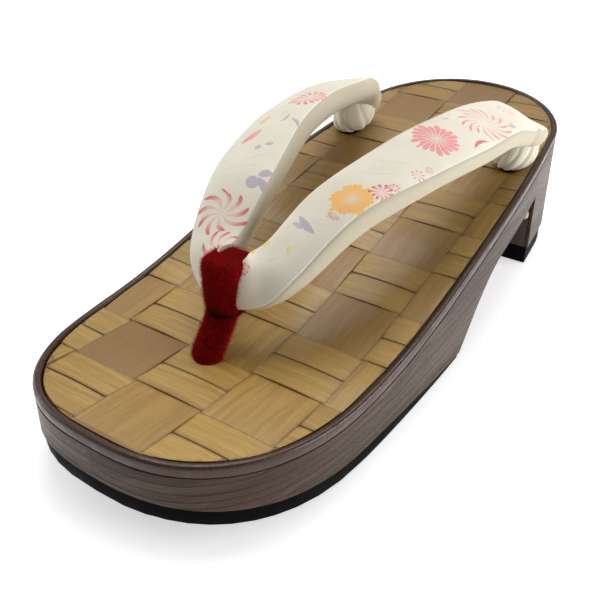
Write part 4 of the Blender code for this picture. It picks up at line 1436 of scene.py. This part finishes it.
def make_gathers():
    material = plain_cloth_material()
    for side in (1, -1):
        make_gather(side, material)


make_gathers()

# %% [markdown]
# ## Velvet toe loop
#
# A strip of red velvet holds the fold of the strap and runs down into the front hole. Its solid is
# right in form, but velvet has no sharp edges, so a copy is remeshed finely and smoothed, and drawn in
# where the loop meets its post, with an almost black line of painted shade in the fold. The pile shows
# at every edge as a bright fringe, so short hairs are then set all over it by Geometry Nodes. The hairs
# are a far brighter red than the loop, a painted highlight for the sheen of that fringe.

# %% Velvet
CREASE_DROP = 0.0007
CREASE_SHADE = 0.0013


def crease_height():
    """Height of the fold between the loop and its post."""
    return strap_centre(0).z - STRAP_ROWS[0][3] * STRAP_WIDTH / 2 - CREASE_DROP


def velvet_material(name, colour, tip):
    """Velvet with painted shade, almost black, along the fold between the loop and its post."""
    material, tree, shader = new_material(name, 0.95, Sheen_Weight=0.6, Sheen_Roughness=0.35,
                                          Specular_IOR_Level=0.1)
    shader.inputs["Sheen Tint"].default_value = tip
    where = own_place(tree)
    pile = clouds(tree, where, 700.0, 3.0)
    # black is painted shade for the fold between the loop and its post.
    dark, black = (tuple(c * share for c in colour[:3]) + (1,) for share in (0.62, 0.06))
    height = add(tree, "SeparateXYZ", {0: where}).outputs["Z"]
    crease = crease_height()
    below = stretch(tree, height, crease - CREASE_SHADE, crease, 0.0, 1.0)
    above = stretch(tree, height, crease, crease + CREASE_SHADE, 1.0, 0.0)
    base = mix(tree, stretch(tree, pile, 0.3, 0.7), dark, colour)
    feed(tree, shader.inputs["Base Color"], mix(tree, times(tree, below, above), base, black))
    add_bump(tree, shader, clouds(tree, where, 2600.0, 2.0), 0.0002, 0.9)
    return material


# %% Toe loop
LOOP_VOXEL = 0.00038
CREASE_HALF_WIDTH = 0.0010
CREASE_DEPTH = 0.0014
POST_Y = -0.0745
POST_LEAN = 0.35
LOOP_LEAN = 0.0011
TUCK_HEIGHT = 0.0450
TUCK_SHARE = 0.17


def make_loop():
    """Velvet loop, drawn in at the fold, leaning a little and tucked down at its top."""
    loop = copy_of_node("toe_loop", "velvet_loop")
    apply_modifier(loop, "REMESH", mode="VOXEL", voxel_size=LOOP_VOXEL)
    apply_modifier(loop, "SMOOTH", factor=0.5, iterations=6)
    crease = crease_height()
    for vert in loop.data.vertices:
        off = (vert.co.z - crease) / CREASE_HALF_WIDTH
        pull = CREASE_DEPTH * math.exp(-off * off)
        centre_y = POST_Y + POST_LEAN * (vert.co.z - crease)
        away = Vector((vert.co.x, vert.co.y - centre_y, 0))
        if away.length > 1e-6:
            vert.co -= away.normalized() * min(pull, 0.6 * away.length)
        vert.co.x -= LOOP_LEAN * min(1.0, vert.co.z / TUCK_HEIGHT)
        vert.co.z -= TUCK_SHARE * max(0.0, vert.co.z - TUCK_HEIGHT)
    soft_shade(loop, 80.0)
    finish_piece(loop, velvet_material("red velvet", (0.140, 0.0006, 0.0008, 1), (0.8, 0.008, 0.008, 1)),
                 "velvet", "toe_loop")
    return loop


LOOP = make_loop()

# %% Pile hairs
HAIRS_PER_SQUARE_METRE = 9.0e6
HAIR_RADIUS = 0.000060
HAIR_LENGTH = 0.00125
HAIR_RISE = 0.00045
HAIR_LEAN = 0.45
HAIR_SIZES = (0.6, 1.15)
HAIR_SEED = 4


def make_pile(loop):
    """Short tapered hairs on the velvet, as one realized mesh."""
    hair = primitive(bpy.ops.mesh.primitive_cone_add, vertices=3, radius1=HAIR_RADIUS, radius2=0.0,
                     depth=HAIR_LENGTH, end_fill_type="NOTHING", location=(0, 0, HAIR_RISE))
    bpy.ops.object.transform_apply(location=True)
    pile = copy_piece(loop, "velvet_pile")
    tree = bpy.data.node_groups.new("set hairs", "GeometryNodeTree")
    for way in ("INPUT", "OUTPUT"):
        tree.interface.new_socket("Geometry", in_out=way, socket_type="NodeSocketGeometry")
    start = add_node(tree, "NodeGroupInput")
    spread = add_node(tree, "GeometryNodeDistributePointsOnFaces",
                      {"Mesh": start.outputs[0], "Density": HAIRS_PER_SQUARE_METRE, "Seed": HAIR_SEED})
    lean = add_node(tree, "FunctionNodeRandomValue", {0: [-HAIR_LEAN] * 3, 1: [HAIR_LEAN] * 3},
                    data_type="FLOAT_VECTOR")
    turned = add(tree, "VectorMath", {0: spread.outputs["Normal"], 1: lean.outputs[0]})
    aim = add_node(tree, "FunctionNodeAlignRotationToVector", {"Vector": turned.outputs[0]}, axis="Z")
    size = add_node(tree, "FunctionNodeRandomValue", {2: HAIR_SIZES[0], 3: HAIR_SIZES[1]})
    source = add_node(tree, "GeometryNodeObjectInfo", {"Object": hair})
    place = add_node(tree, "GeometryNodeInstanceOnPoints",
                     {"Points": spread.outputs["Points"], "Instance": source.outputs["Geometry"],
                      "Rotation": aim.outputs[0], "Scale": size.outputs[1]})
    real = add_node(tree, "GeometryNodeRealizeInstances", {0: place.outputs[0]})
    feed(tree, add_node(tree, "NodeGroupOutput").inputs[0], real.outputs[0])
    apply_modifier(pile, "NODES", node_group=tree)
    bpy.data.objects.remove(hair)
    # The hairs are a far brighter red than the loop: a painted highlight for the sheen of the pile's fringe.
    material = velvet_material("velvet pile", (0.560, 0.0040, 0.0045, 1), (1.0, 0.02, 0.02, 1))
    finish_piece(pile, material, "velvet")


make_pile(LOOP)

# %% [markdown]
# ## Knots under the platform
#
# Below, cords are knotted to hold the strap: one in the well under the toe post and one under each
# rear hole. They are small and half hidden, so copies of their solids get the twist of a cotton cord
# as relief.

# %% Knots


def cord_material():
    """Cotton cord: slanting strands with painted shade between them, and a slightly soiled cream colour."""
    material, tree, shader = new_material("cotton cord", 0.88, Sheen_Weight=0.2, Sheen_Roughness=0.5)
    where = own_place(tree)
    turned = add(tree, "Mapping", {"Vector": where, "Rotation": (0.5, 0.7, 0.6)}).outputs[0]
    strands = add(tree, "TexWave", {"Vector": turned, "Scale": 210.0, "Distortion": 1.2,
                                    "Detail": 2.0}).outputs["Fac"]
    soil = clouds(tree, where, 320.0, 4.0)
    base = mix(tree, stretch(tree, soil, 0.35, 0.7), (0.560, 0.500, 0.380, 1), (0.360, 0.300, 0.210, 1))
    # Painted shade in the hollows between the strands.
    strand_shade = stretch(tree, strands, 0.0, 0.35, 0.5, 0.0)
    feed(tree, shader.inputs["Base Color"], mix(tree, strand_shade, base, (0.180, 0.140, 0.090, 1)))
    add_bump(tree, shader, strands, 0.00025, 0.9)
    return material


def make_knots():
    material = cord_material()
    for node in ("front_knot", "right_knot", "left_knot"):
        knot = copy_of_node(node, "cord_" + node)
        apply_modifier(knot, "SUBSURF", levels=1, render_levels=1)
        soft_shade(knot, 80.0)
        finish_piece(knot, material, "cord", node)


make_knots()
